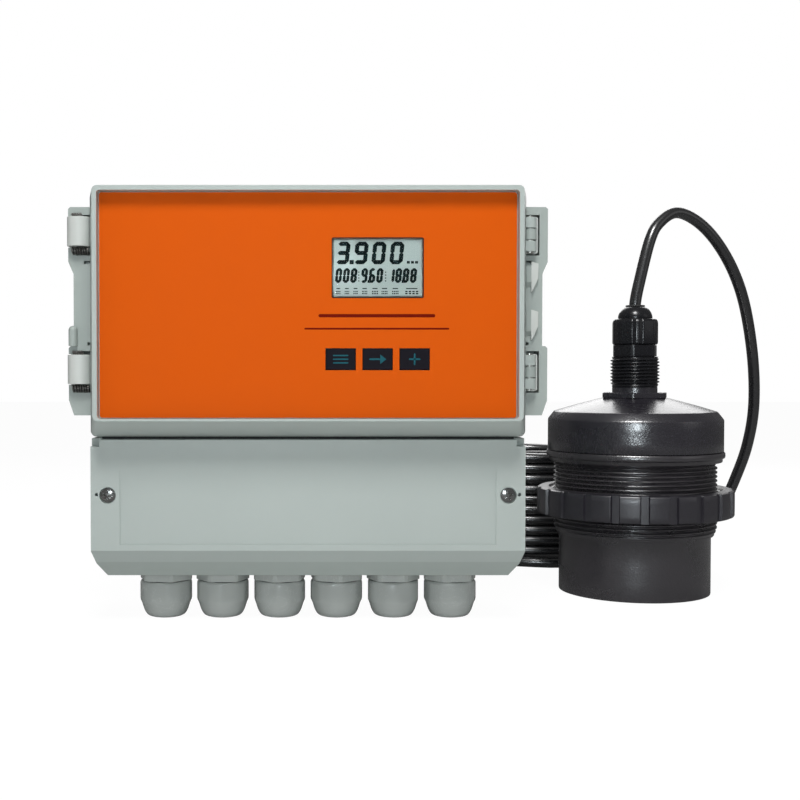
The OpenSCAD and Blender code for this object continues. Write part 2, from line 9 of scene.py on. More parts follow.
import logging
import math
from collections.abc import Sequence
from dataclasses import dataclass
from enum import Enum
from typing import ClassVar

import bmesh
import bpy
import numpy as np
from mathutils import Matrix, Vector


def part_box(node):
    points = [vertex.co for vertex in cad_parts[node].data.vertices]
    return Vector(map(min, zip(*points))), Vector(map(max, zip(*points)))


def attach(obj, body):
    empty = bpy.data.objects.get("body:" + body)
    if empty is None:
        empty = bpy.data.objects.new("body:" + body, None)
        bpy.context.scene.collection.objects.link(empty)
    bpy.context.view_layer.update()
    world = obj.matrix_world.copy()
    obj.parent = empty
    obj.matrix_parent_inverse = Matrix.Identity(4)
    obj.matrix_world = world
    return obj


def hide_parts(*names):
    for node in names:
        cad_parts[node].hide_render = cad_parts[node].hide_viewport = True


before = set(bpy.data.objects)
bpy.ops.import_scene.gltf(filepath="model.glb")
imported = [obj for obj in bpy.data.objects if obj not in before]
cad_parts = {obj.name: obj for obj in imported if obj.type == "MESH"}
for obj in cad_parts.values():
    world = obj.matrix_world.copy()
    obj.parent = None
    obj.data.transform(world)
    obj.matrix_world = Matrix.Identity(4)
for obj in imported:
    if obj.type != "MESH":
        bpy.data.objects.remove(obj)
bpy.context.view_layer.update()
LOG = logging.getLogger("level_meter")

MM = 0.001
CASE = np.array([-59.8, 20.0, 0.0])
PROBE = np.array([121.8, 32.0, 0.0])
Colour = tuple[float, float, float]
Socket = bpy.types.NodeSocket
Piece = bpy.types.Object


# ---------------------------------------------------------------- meshes


def around(steps: int) -> np.ndarray:
    """Angles of a full turn, evenly spaced."""
    return np.linspace(0, 2 * np.pi, steps, endpoint=False)


def flat_angle(a: np.ndarray, turn: float) -> np.ndarray:
    """Each angle as seen from the middle of the nearest flat of a hexagon."""
    return (a - turn) % (np.pi / 3) - np.pi / 6


def soft_min(a: np.ndarray, b: np.ndarray | float, sharp: float) -> np.ndarray:
    """The smaller of two values, with a rounded change from one to the other."""
    return -np.log(np.exp(-sharp * a) + np.exp(-sharp * b)) / sharp


def ease(x: np.ndarray) -> np.ndarray:
    """A smooth step: 3 x^2 - 2 x^3."""
    return x * x * (3 - 2 * x)


def grid_faces(rows: int, cols: int, wrap_rows: bool, wrap_cols: bool) -> np.ndarray:
    """Quads between neighbouring points of a grid of rows and columns.

    Args:
        rows: number of rows of points.
        cols: number of points in a row.
        wrap_rows: joins the last row to the first.
        wrap_cols: joins the last column to the first.

    Returns:
        An array of four point numbers for each face.
    """
    r = np.arange(rows if wrap_rows else rows - 1)[:, None]
    c = np.arange(cols if wrap_cols else cols - 1)[None, :]
    r2, c2 = (r + 1) % rows, (c + 1) % cols
    corners = [r * cols + c, r * cols + c2, r2 * cols + c2, r2 * cols + c]
    return np.stack(corners, -1).reshape(-1, 4)


@dataclass(frozen=True)
class Mesh:
    """Turns points in millimetres into one finished piece, which each method returns.

    name is the piece's name, and sharp the angle in degrees past which its edges stay sharp.
    """

    name: str
    sharp: float = 35.0

    def piece(self, points: np.ndarray, faces: Sequence) -> Piece:
        """A closed piece with outward faces, smooth but for its sharp edges.

        Args:
            points: its points.
            faces: lists of point numbers.

        Returns:
            The new object, at the origin.
        """
        mesh = bpy.data.meshes.new(self.name)
        mesh.from_pydata((points.reshape(-1, 3) * MM).tolist(), [], faces)
        mesh.update()
        obj = bpy.data.objects.new(self.name, mesh)
        bpy.context.scene.collection.objects.link(obj)
        work = bmesh.new()
        work.from_mesh(mesh)
        bmesh.ops.remove_doubles(work, verts=work.verts, dist=1e-6)
        bmesh.ops.recalc_face_normals(work, faces=work.faces)
        work.to_mesh(mesh)
        work.free()
        mesh.shade_smooth()
        mesh.set_sharp_from_angle(angle=math.radians(self.sharp))
        return obj

    def surface(self, points: np.ndarray, rod: bool = False) -> Piece:
        """A grid of points whose columns close.

        Args:
            points: an array of rows, columns and three coordinates.
            rod: gives it a flat cap at each end, in place of joining its last row to its first.

        Returns:
            The new object.
        """
        rows, cols = points.shape[:2]
        faces = grid_faces(rows, cols, not rod, True).tolist()
        if rod:
            ring = list(range(cols))
            faces += [ring[::-1], [(rows - 1) * cols + corner for corner in ring]]
        return self.piece(points, faces)

    def turned(self, profile: Sequence, centre: np.ndarray, steps: int = 96) -> Piece:
        """A closed ring about a vertical axis.

        Each profile point (r, z) goes once around: x = r cos a, y = r sin a.

        Args:
            profile: pairs of radius and height, where a radius may be an array over the angles.
            centre: a point on the axis.
            steps: points around the axis.

        Returns:
            The new object.
        """
        a = around(steps)
        points = [np.stack([r * np.cos(a), r * np.sin(a), 0 * a + z], -1) for r, z in profile]
        return self.surface(np.stack(points) + centre)

    def join(self, parts: Sequence[Piece]) -> Piece:
        """Several objects as one.

        Args:
            parts: the objects.

        Returns:
            The first object, which now holds them all.
        """
        with bpy.context.temp_override(
            active_object=parts[0], selected_editable_objects=list(parts), object=parts[0]
        ):
            bpy.ops.object.join()
        parts[0].name = parts[0].data.name = self.name
        return parts[0]

    def soft_copy(self, node: str, width: float, segments: int = 3) -> Piece:
        """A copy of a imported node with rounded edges.

        The loose triangles are merged and their flat areas joined, then every edge that
        turns by more than 28 degrees gets a round bevel.

        Args:
            node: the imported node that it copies.
            width: the bevel's width.
            segments: faces across each bevel.

        Returns:
            The new object.
        """
        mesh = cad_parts[node].data.copy()
        mesh.name = self.name
        obj = bpy.data.objects.new(self.name, mesh)
        bpy.context.scene.collection.objects.link(obj)
        work = bmesh.new()
        work.from_mesh(mesh)
        bmesh.ops.remove_doubles(work, verts=work.verts, dist=4e-6)
        bmesh.ops.dissolve_limit(
            work, angle_limit=math.radians(1.0), verts=work.verts, edges=work.edges
        )
        work.to_mesh(mesh)
        work.free()
        bevel = obj.modifiers.new("soft edges", "BEVEL")
        bevel.width = width * MM
        bevel.segments = segments
        bevel.limit_method = "ANGLE"
        bevel.angle_limit = math.radians(28)
        bevel.miter_outer = "MITER_ARC"
        bevel.use_clamp_overlap = True
        self._apply_modifiers(obj)
        obj.data.shade_smooth()
        obj.data.set_sharp_from_angle(angle=math.radians(40))
        level = obj.modifiers.new("level normals", "WEIGHTED_NORMAL")
        level.keep_sharp = True
        self._apply_modifiers(obj)
        obj.data.materials.clear()
        return obj

    @staticmethod
    def _apply_modifiers(obj: Piece) -> None:
        """Replaces an object's mesh by what its modifiers make of it.

        Args:
            obj: the object, which loses its modifiers.
        """
        graph = bpy.context.evaluated_depsgraph_get()
        done = bpy.data.meshes.new_from_object(obj.evaluated_get(graph))
        obj.modifiers.clear()
        obj.data = done

    def plate(self, outline: np.ndarray, y_front: float, depth: float, bevel: float) -> Piece:
        """A flat plate that faces the viewer, with a round front edge.

        The outline, in X and Z, is carried back in rings: the first rings shrink it by
        the bevel along a quarter circle, and the rest run straight back.

        Args:
            outline: points of X and Z in order, anticlockwise as the viewer sees them.
            y_front: the plane of the front.
            depth: how far the plate goes back.
            bevel: radius of the front edge.

        Returns:
            The new object.
        """
        ahead, behind = np.roll(outline, -1, 0) - outline, outline - np.roll(outline, 1, 0)
        edge = ahead / np.linalg.norm(ahead, axis=1, keepdims=True)
        edge = edge + behind / np.linalg.norm(behind, axis=1, keepdims=True)
        edge /= np.linalg.norm(edge, axis=1, keepdims=True)
        inward = np.stack([-edge[:, 1], edge[:, 0]], -1)
        turn = np.linspace(0, np.pi / 2, 5)
        shrink = np.append(bevel * (1 - np.sin(turn)), 0.0)
        back = np.append(bevel * (1 - np.cos(turn)), depth)
        flat = outline[None] + shrink[:, None, None] * inward[None]
        y = np.broadcast_to(y_front + back[:, None, None], flat[..., :1].shape)
        return self.surface(np.concatenate([flat[..., :1], y, flat[..., 1:]], -1), rod=True)

    def flat_ring(self, outer: np.ndarray, inner: np.ndarray, y: float, depth: float) -> Piece:
        """A flat frame between two outlines with the same number of points.

        Args:
            outer: points of X and Z on the outside.
            inner: points of X and Z on the inside.
            y: the plane of the front.
            depth: how far the frame goes back.

        Returns:
            The new object.
        """
        loops = [(inner, y + depth), (outer, y + depth), (outer, y), (inner, y)]
        points = [np.stack([o[:, 0], np.full(len(o), at), o[:, 1]], -1) for o, at in loops]
        return self.surface(np.stack(points))

    def tube(self, line: np.ndarray, radius: float, sides: int, upright: np.ndarray) -> Piece:
        """A round tube along a line of points, with a flat cap at each end.

        At each point the ring stands square to the line: one arm is the cross product of
        the line's direction and a reference vector, and the other is square to both.

        Args:
            line: the points.
            radius: the tube's radius.
            sides: points around the tube.
            upright: a reference vector for each point, nowhere along the line.

        Returns:
            The new object.
        """
        along = np.gradient(line, axis=0)
        along /= np.linalg.norm(along, axis=1, keepdims=True)
        side = np.cross(along, upright)
        side /= np.linalg.norm(side, axis=1, keepdims=True)
        up = np.cross(along, side)
        a = around(sides)[None, :, None]
        ring = np.cos(a) * side[:, None] + np.sin(a) * up[:, None]
        return self.surface(line[:, None] + radius * ring, rod=True)


@dataclass(frozen=True)
class Rect:
    """A rectangle in X and Z, by its middle, its width and its height."""

    x: float
    z: float
    w: float
    h: float

    def grown(self, by: float) -> Rect:
        """The same rectangle, larger by an amount on each side."""
        return Rect(self.x, self.z, self.w + 2 * by, self.h + 2 * by)

    def outline(self, r: float, steps: int = 8) -> np.ndarray:
        """Its outline with round corners, anticlockwise.

        Args:
            r: radius of the corners.
            steps: points along each corner.

        Returns:
            An array of points of X and Z.
        """
        arcs = []
        for quarter, (right, up) in enumerate(((1, 1), (-1, 1), (-1, -1), (1, -1))):
            a = np.linspace(quarter, quarter + 1, steps) * np.pi / 2
            cx, cz = self.x + right * (self.w / 2 - r), self.z + up * (self.h / 2 - r)
            arcs.append(np.stack([cx + r * np.cos(a), cz + r * np.sin(a)], -1))
        return np.concatenate(arcs)


# ------------------------------------------------------- shader node groups


class GroupName(Enum):
    """The effects that several finishes share."""

    GRAIN = "fine moulded grain"
    MOTTLE = "slow change of tone"
    DUST = "dust on upward faces"
    SCUFF = "fine scratches"


class NodeKit:
    """Adds nodes to one node tree and links or fills their inputs."""

    def __init__(self, tree: bpy.types.NodeTree) -> None:
        """Takes the tree that the nodes go to."""
        self.tree = tree

    def add(self, kind: str, inputs: dict | None = None, **settings: str) -> bpy.types.Node:
        """Adds one node.

        Args:
            kind: the node's type, without the word ShaderNode before it.
            inputs: a number, a colour or a socket for each input's name or place.
            settings: the node's own options.

        Returns:
            The new node.
        """
        node = self.tree.nodes.new(f"ShaderNode{kind}")
        for key, value in settings.items():
            setattr(node, key, value)
        self.fill(node, inputs or {})
        return node

    def fill(self, node: bpy.types.Node, inputs: dict) -> None:
        """Links or fills the named inputs of a node.

        Args:
            node: the node.
            inputs: a number, a colour or a socket for each input's name or place.
        """
        for key, value in inputs.items():
            if isinstance(value, Socket):
                self.tree.links.new(value, node.inputs[key])
            else:
                node.inputs[key].default_value = value

    def math(self, kind: str, *values: Socket | float) -> Socket:
        """One Math node on sockets or numbers."""
        return self.add("Math", dict(enumerate(values)), operation=kind).outputs[0]

    def noise(self, scale: Socket, detail: float, place: Socket | None = None) -> Socket:
        """A noise texture on the object's coordinates, or on those given."""
        at = place or self.add("TexCoord").outputs["Object"]
        return self.add("TexNoise", {"Vector": at, "Scale": scale, "Detail": detail}).outputs[0]

    def effect(self, which: GroupName, **values: float) -> Socket:
        """Places a shared group.

        Args:
            which: the effect.
            values: numbers for the group's inputs.

        Returns:
            The group's output.
        """
        node = self.tree.nodes.new("ShaderNodeGroup")
        node.node_tree = Effects.group(which)
        self.fill(node, values)
        return node.outputs[0]


class Effects:
    """Builds each shared shader group once."""

    SOCKETS: ClassVar[dict[GroupName, tuple[str, dict[str, float]]]] = {
        GroupName.GRAIN: ("Height", {"Scale": 3000.0}),
        GroupName.MOTTLE: ("Mask", {"Scale": 20.0}),
        GroupName.DUST: ("Mask", {"Amount": 0.3, "Scale": 160.0}),
        GroupName.SCUFF: ("Mask", {"Scale": 60.0}),
    }
    made: ClassVar[dict[GroupName, bpy.types.NodeTree]] = {}

    @classmethod
    def group(cls, which: GroupName) -> bpy.types.NodeTree:
        """The node tree of one effect, built at its first use.

        Args:
            which: the effect.

        Returns:
            A group with number inputs and one output.
        """
        if which not in cls.made:
            tree = bpy.data.node_groups.new(which.value, "ShaderNodeTree")
            output, inputs = cls.SOCKETS[which]
            kind = "NodeSocketFloat"
            for label, value in inputs.items():
                made = tree.interface.new_socket(label, in_out="INPUT", socket_type=kind)
                made.default_value = value
            tree.interface.new_socket(output, in_out="OUTPUT", socket_type=kind)
            start, end = tree.nodes.new("NodeGroupInput"), tree.nodes.new("NodeGroupOutput")
            maker = {
                GroupName.GRAIN: cls._grain,
                GroupName.MOTTLE: cls._mottle,
                GroupName.DUST: cls._dust,
                GroupName.SCUFF: cls._scuff,
            }[which]
            tree.links.new(maker(NodeKit(tree), start.outputs), end.inputs[output])
            cls.made[which] = tree
        return cls.made[which]

    @staticmethod
    def _grain(kit: NodeKit, given: Sequence[Socket]) -> Socket:
        """Height of a fine moulded texture: two noises, one a third as coarse.

        Args:
            kit: adds the nodes.
            given: the group's inputs.

        Returns:
            The group's output value.
        """
        fine = kit.noise(given["Scale"], 2.0)
        coarse = kit.noise(kit.math("MULTIPLY", given["Scale"], 0.3), 1.0)
        return kit.math("MULTIPLY", kit.math("ADD", fine, coarse), 0.5)

    @staticmethod
    def _mottle(kit: NodeKit, given: Sequence[Socket]) -> Socket:
        """A slow mask from 0 to 1 for tone that drifts over a moulding."""
        return kit.noise(given["Scale"], 3.0)

    @staticmethod
    def _dust(kit: NodeKit, given: Sequence[Socket]) -> Socket:
        """A mask of dust: the upward part of the normal times a noise.

        Args:
            kit: adds the nodes.
            given: the group's inputs.

        Returns:
            The group's output value.
        """
        normal = kit.add("NewGeometry").outputs["Normal"]
        up = kit.math("MAXIMUM", kit.add("SeparateXYZ", {0: normal}).outputs["Z"], 0.0)
        spots = kit.math("MULTIPLY", up, kit.noise(given["Scale"], 4.0))
        return kit.math("MULTIPLY", spots, given["Amount"])

    @staticmethod
    def _scuff(kit: NodeKit, given: Sequence[Socket]) -> Socket:
        """A mask of fine scratches: a stretched noise cut near its middle value.

        Args:
            kit: adds the nodes.
            given: the group's inputs.

        Returns:
            The group's output value.
        """
        place = kit.add("TexCoord").outputs["Object"]
        turn, size = (0.4, 0.7, 0.2), (1.0, 14.0, 3.0)
        stretch = kit.add("Mapping", {"Vector": place, "Rotation": turn, "Scale": size})
        noise = kit.noise(given["Scale"], 5.0, stretch.outputs[0])
        size = kit.math("ABSOLUTE", kit.math("SUBTRACT", noise, 0.5), 0.0)
        return kit.math("LESS_THAN", size, 0.012)


# ---------------------------------------------------------------- finishes


@dataclass(frozen=True)
class Finish:
    """A named look that makes its node material once."""

    name: str
    colour: Colour

    def material(self) -> bpy.types.Material:
        """Makes the finish's node material at its first use.

        Returns:
            The material, the same one each time.
        """
        label = f"finish {self.name}"
        mat = bpy.data.materials.get(label)
        if mat is None:
            mat = bpy.data.materials.new(label)
            mat.use_nodes = True
            kit = NodeKit(mat.node_tree)
            kit.fill(mat.node_tree.nodes["Principled BSDF"], self._inputs(kit))
        return mat

    def _inputs(self, kit: NodeKit) -> dict:
        """What the shader's inputs get."""
        raise NotImplementedError


@dataclass(frozen=True)
class Moulded(Finish):
    """A moulded or turned plastic: grain, slow tone changes, dust and fine scratches."""

    roughness: float = 0.5
    grain_scale: float = 2600.0
    grain: float = 0.05
    mottle: float = 0.06
    dust: float = 0.12
    scuff: float = 0.05
    coat: float = 0.0
    specular: float = 0.5
    metallic: float = 0.0
    ior: float = 1.5

    DUST_TONE: ClassVar[tuple[float, ...]] = (0.45, 0.44, 0.41, 1)
    SPREAD: ClassVar[float] = 0.07

    def _inputs(self, kit: NodeKit) -> dict:
        """Tone, roughness and bump from the shared effects, and the plain numbers.

        Args:
            kit: adds the nodes.

        Returns:
            A number, a colour or a socket for each input's name.
        """
        mottle = kit.effect(GroupName.MOTTLE, Scale=26.0)
        dust = kit.effect(GroupName.DUST, Amount=self.dust, Scale=240.0)
        scuff = kit.effect(GroupName.SCUFF, Scale=70.0)
        grain = kit.effect(GroupName.GRAIN, Scale=self.grain_scale)
        low = (*(c * (1 - self.mottle) for c in self.colour), 1)
        high = (*(min(1.0, c * (1 + self.mottle)) for c in self.colour), 1)
        tone = kit.add("Mix", {"Factor": mottle, "A": low, "B": high}, data_type="RGBA")
        layers = {"Factor": dust, "A": tone.outputs["Result"], "B": self.DUST_TONE}
        pale = kit.add("Mix", layers, data_type="RGBA")
        ends = {
            "To Min": max(0.02, self.roughness - self.SPREAD),
            "To Max": min(1.0, self.roughness + self.SPREAD),
        }
        rough = kit.add("MapRange", {"Value": mottle, **ends})
        relief = {"Strength": 0.6, "Distance": self.grain * MM, "Height": grain}
        return {
            "Base Color": pale.outputs["Result"],
            "Roughness": kit.math("MULTIPLY_ADD", scuff, self.scuff, rough.outputs[0]),
            "Normal": kit.add("Bump", relief).outputs[0],
            "Coat Weight": self.coat,
            "Coat Roughness": 0.2,
            "Specular IOR Level": self.specular,
            "Metallic": self.metallic,
            "IOR": self.ior,
        }


@dataclass(frozen=True)
class Clear(Finish):
    """Clear acrylic or glass with a faint tint."""

    roughness: float = 0.03

    def _inputs(self, kit: NodeKit) -> dict:
        """A transmitting shader with faint smears.

        Args:
            kit: adds the nodes.

        Returns:
            A number, a colour or a socket for each input's name.
        """
        smear = kit.effect(GroupName.MOTTLE, Scale=60.0)
        ends = {"To Min": self.roughness, "To Max": self.roughness + 0.06}
        return {
            "Base Color": (*self.colour, 1),
            "Transmission Weight": 1.0,
            "IOR": 1.1,
            "Roughness": kit.add("MapRange", {"Value": smear, **ends}).outputs[0],
        }


CASE_GREY = Moulded("case grey", (0.405, 0.45, 0.425), 0.42, 1500, 0.03, 0.03, 0.02, 0.04)
# Painted shade: the housing is the case grey made darker, standing in for the shade that falls on
# its ears.
SHADED_HOUSING_GREY = Moulded("shaded housing grey", (0.35, 0.39, 0.365), 0.42, 1500, 0.03, 0.03, 0.02, 0.04)
LATCH_GREY = Moulded("latch grey", (0.56, 0.58, 0.55), 0.4, 1500, 0.02, 0.03, 0.02, 0.04)
GLAND_GREY = Moulded("gland grey", (0.42, 0.44, 0.42), 0.24, 2200, 0.02, 0.04, 0.03, 0.04)
ORANGE_FILM = Moulded("orange film", (0.63, 0.09, 0.002), 0.5, 4200, 0.01, 0.02, 0, 0.02, 0, 0.05)
KEY_FILM = Moulded("key film", (0.010, 0.009, 0.013), 0.5, 4200, 0.01, 0.04, 0.0, 0.03, 0, 0.05)
CYAN_INK = Moulded("cyan ink", (0.014, 0.095, 0.12), 0.5, 4200, 0.0, 0.04, 0.0, 0.0, 0, 0.05)
DARK_INK = Moulded("dark ink", (0.15, 0.007, 0.001), 0.5, 4200, 0.0, 0.05, 0.0, 0.0, 0, 0.03)
LCD_FIELD = Moulded("lcd field", (0.36, 0.41, 0.40), 0.25, 5200, 0.0, 0.03, 0.0, 0.0)
LCD_RIM = Moulded("lcd rim", (0.62, 0.66, 0.62), 0.3, 5200, 0.0, 0.03, 0.0, 0.0)
LCD_INK = Moulded("lcd ink", (0.004, 0.010, 0.011), 0.5, 5200, 0.0, 0.05, 0.0, 0.0, 0, 0.05)
WINDOW_BLACK = Moulded("window frame ink", (0.03, 0.014, 0.01), 0.5, 4200, 0, 0.05, 0, 0, 0, 0.1)
PROBE_BLACK = Moulded(
    "probe black", (0.011, 0.009, 0.015), 0.26, 1100, 0.2, 0.12, 0.03, 0.06, 0, 0.9, 0, 1.7
)
BODY_BLACK = Moulded(
    "body black", (0.022, 0.019, 0.023), 0.28, 1100, 0.2, 0.12, 0.03, 0.06, 0, 0.9, 0, 1.7
)
NUT_BLACK = Moulded(
    "nut black", (0.015, 0.013, 0.019), 0.38, 1100, 0.16, 0.12, 0.03, 0.06, 0, 0.8, 0, 1.65
)
GLAND_BLACK = Moulded("gland black", (0.008, 0.008, 0.010), 0.24, 1800, 0.02, 0.1, 0.03, 0.05)
CABLE_BLACK = Moulded(
    "cable black", (0.007, 0.007, 0.008), 0.26, 1600, 0.03, 0.1, 0.02, 0.04, 0.2, 0.8, 0, 1.7
)
TIE_BLACK = Moulded("tie black", (0.02, 0.02, 0.02), 0.4, 2000, 0.02, 0.1, 0.03, 0.04)
RUBBER = Moulded("gasket rubber", (0.03, 0.03, 0.03), 0.75, 1500, 0.08, 0.1, 0.05, 0.05)
SEAL = Moulded("seal rubber", (0.25, 0.25, 0.24), 0.6, 1500, 0.04, 0.06, 0.03, 0.05)
STEEL = Moulded(
    "plated steel", (0.62, 0.61, 0.58), 0.28, 2400, 0.02, 0.05, 0.02, 0.12, 0, 0.5, 1.0
)
BOARD = Moulded("solder mask", (0.02, 0.16, 0.07), 0.3, 3600, 0.03, 0.08, 0.04, 0.05)
TERMINAL = Moulded("terminal green", (0.03, 0.26, 0.09), 0.4, 2400, 0.03, 0.06, 0.03, 0.05)
RELAY_BLUE = Moulded("relay blue", (0.04, 0.13, 0.38), 0.35, 2400, 0.03, 0.05, 0.03, 0.05)
POTTING = Moulded("potted module", (0.03, 0.03, 0.034), 0.5, 1800, 0.05, 0.1, 0.04, 0.05)
RESIN = Moulded("sensing resin", (0.07, 0.07, 0.075), 0.5, 1300, 0.06, 0.1, 0.04, 0.06)
CERAMIC = Moulded("ceramic", (0.62, 0.56, 0.40), 0.55, 2400, 0.03, 0.05, 0.03, 0.03)
SCREW_STEEL = Moulded(
    "screw steel", (0.36, 0.36, 0.35), 0.17, 2400, 0.02, 0.08, 0.02, 0.12, 0, 0.5, 1.0
)
SPRING_STEEL = Moulded(
    "spring steel", (0.2, 0.19, 0.18), 0.3, 2400, 0.02, 0.1, 0, 0.1, 0, 0.5, 1.0
)
WINDOW = Clear("window", (0.92, 0.96, 0.95))


class CoreColour(Enum):
    """Colours of the insulated wires in the cable."""

    RED = (0.50, 0.03, 0.02)
    YELLOW = (0.62, 0.42, 0.03)
    BLUE = (0.03, 0.09, 0.42)
    BLACK = (0.02, 0.02, 0.02)


def dress(obj: Piece, finish: Finish) -> Piece:
    """Gives every material slot of an object one finish.

    Args:
        obj: the piece.
        finish: its new look.

    Returns:
        The same piece.
    """
    if not obj.data.materials:
        obj.data.materials.append(None)
    for number in range(len(obj.data.materials)):
        obj.data.materials[number] = finish.material()
    return obj


def settle(
    obj: Piece, finish: Finish | None, body: str, slot: str, replaced: Sequence[str] = ()
) -> Piece:
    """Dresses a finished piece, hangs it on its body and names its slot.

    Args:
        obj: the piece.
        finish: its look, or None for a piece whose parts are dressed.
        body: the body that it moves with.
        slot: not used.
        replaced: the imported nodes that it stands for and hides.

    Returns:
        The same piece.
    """
    if finish:
        dress(obj, finish)
    if replaced:
        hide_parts(*replaced)
    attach(obj, body)
    LOG.info("made %s", obj.name)
    return obj


# ------------------------------------------------------------ sub-assemblies


@dataclass
class CaseShells:
    """Housing, lid and terminal cover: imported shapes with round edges."""

    edge: float = 0.7
    rim_edge: float = 0.6
    cover_edge: float = 0.35
    lever_edge: float = 0.5

    def build(self) -> None:
        """Makes the three shells and both latch levers."""
        for node, body, slot, width, finish in (
            # the housing's darker copy of the case grey is painted shade on its ears
            ("rear_housing", "instrument", "case", self.edge, SHADED_HOUSING_GREY),
            ("display_lid", "lid", "case", self.rim_edge, CASE_GREY),
            ("terminal_cover", "cover", "case", self.cover_edge, CASE_GREY),
            ("latch_lever_upper", "upper_latch", "latch", self.lever_edge, LATCH_GREY),
            ("latch_lever_lower", "lower_latch", "latch", self.lever_edge, LATCH_GREY),
        ):
            shell = Mesh(f"{node}_shell").soft_copy(node, width)
            settle(shell, finish, body, slot, [node])


@dataclass
class CaseTrim:
    """Small parts on the ears, and a dark strip of painted shade between the lid and the cover.

    The ears carry latch springs on the left, and clips and stops of the hinge on the right.
    """

    ear_front: float = -58.0
    feet: tuple[float, float] = (177.4, 111.6)
    height: float = 19.4
    spring_x: float = -113.0
    clip_x: float = 106.65
    stops: tuple[float, float] = (174.4, 151.4)
    stop_front: float = -59.95
    # half the length of the dark strip of painted shade in the seam
    shade_strip_half: float = 98.0

    SHADE_STRIP: ClassVar[list[list[float]]] = [
        [-64.15, 89.65], [-64.0, 89.65], [-64.0, 90.02], [-60.1, 90.02], [-60.1, 90.92],
        [-64.15, 90.92],
    ]
    STOP: ClassVar[list[list[float]]] = [
        [110.2, -1.0], [106.8, 0], [106.8, -14.6], [107.6, -14], [110.2, -8],
    ]

    def build(self) -> None:
        """Two springs at each latch, a clip in each hinge pocket, the dark strip of painted shade
        in the seam, and the stops.
        """
        for number, foot in enumerate(self.feet):
            low = self._coil(8.4, foot + 2.05, 1.5, 0.5, 7.0)
            high = self._coil(5.0, foot + self.height - 0.1, 0.7, 0.33, 6.0)
            springs = Mesh(f"latch_springs_{number + 1}").join([low, high])
            settle(springs, SPRING_STEEL, "instrument", "steel")
            clip = self._clip(f"hinge_clip_{number + 1}", foot)
            settle(clip, LATCH_GREY, "instrument", "latch")
        # painted shade: a dark strip fills the slot between lid and cover
        settle(self._painted_shade_strip(), RUBBER, "instrument", "gasket")
        stops = [self._stop(high) for high in self.stops]
        settle(Mesh("hinge_stops").join(stops), LATCH_GREY, "instrument", "latch")

    def _coil(self, length: float, z: float, r: float, wire: float, turns: float) -> Piece:
        """A wire coil along X that touches the ear: y = r cos a and z = r sin a as x grows.

        Args:
            length: length of the coil.
            z: height of its axis.
            r: radius of the wire's centre line.
            wire: radius of the wire.
            turns: number of turns.

        Returns:
            The new object.
        """
        t = np.linspace(0, 1, int(turns * 16) + 1)
        a = 2 * np.pi * turns * t
        y = self.ear_front - 0.45 - wire - 0.3 * r + r * np.cos(a)
        line = np.stack([CASE[0] + self.spring_x + length * t, y, z + r * np.sin(a)], -1)
        return Mesh("coil", 60).tube(line, wire, 8, np.tile([1.0, 0.0, 0.0], (len(t), 1)))

    def _stop(self, high: float) -> Piece:
        """A low wedge on the right ear beside the lid, with a slanting lower edge."""
        outline = np.array(self.STOP) + [CASE[0], high]
        return Mesh("stop").plate(outline, self.stop_front, 2.0, 0.25)

    def _painted_shade_strip(self) -> Piece:
        """A dark strip in the slot between lid and terminal cover: painted shade, dressed in the
        gasket rubber.

        Returns:
            The new object.
        """
        places = [CASE[0] + side * self.shade_strip_half for side in (-1, 1)]
        ends = [np.column_stack([np.full(len(self.SHADE_STRIP), x), self.SHADE_STRIP]) for x in places]
        return Mesh("seam_painted_shade").surface(np.stack(ends), rod=True)

    def _clip(self, name: str, foot: float) -> Piece:
        """A flat rounded frame behind the knuckles of one hinge.

        Args:
            name: the piece's name.
            foot: lower end of the hinge pocket.

        Returns:
            The new object.
        """
        x, z = CASE[0] + self.clip_x, foot + self.height / 2
        outer = Rect(x, z, 7.2, self.height - 1.6).outline(1.2)
        inner = Rect(x, z, 5.7, self.height - 3.4).outline(0.7)
        return Mesh(name).flat_ring(outer, inner, self.ear_front + 0.5, 2.2)


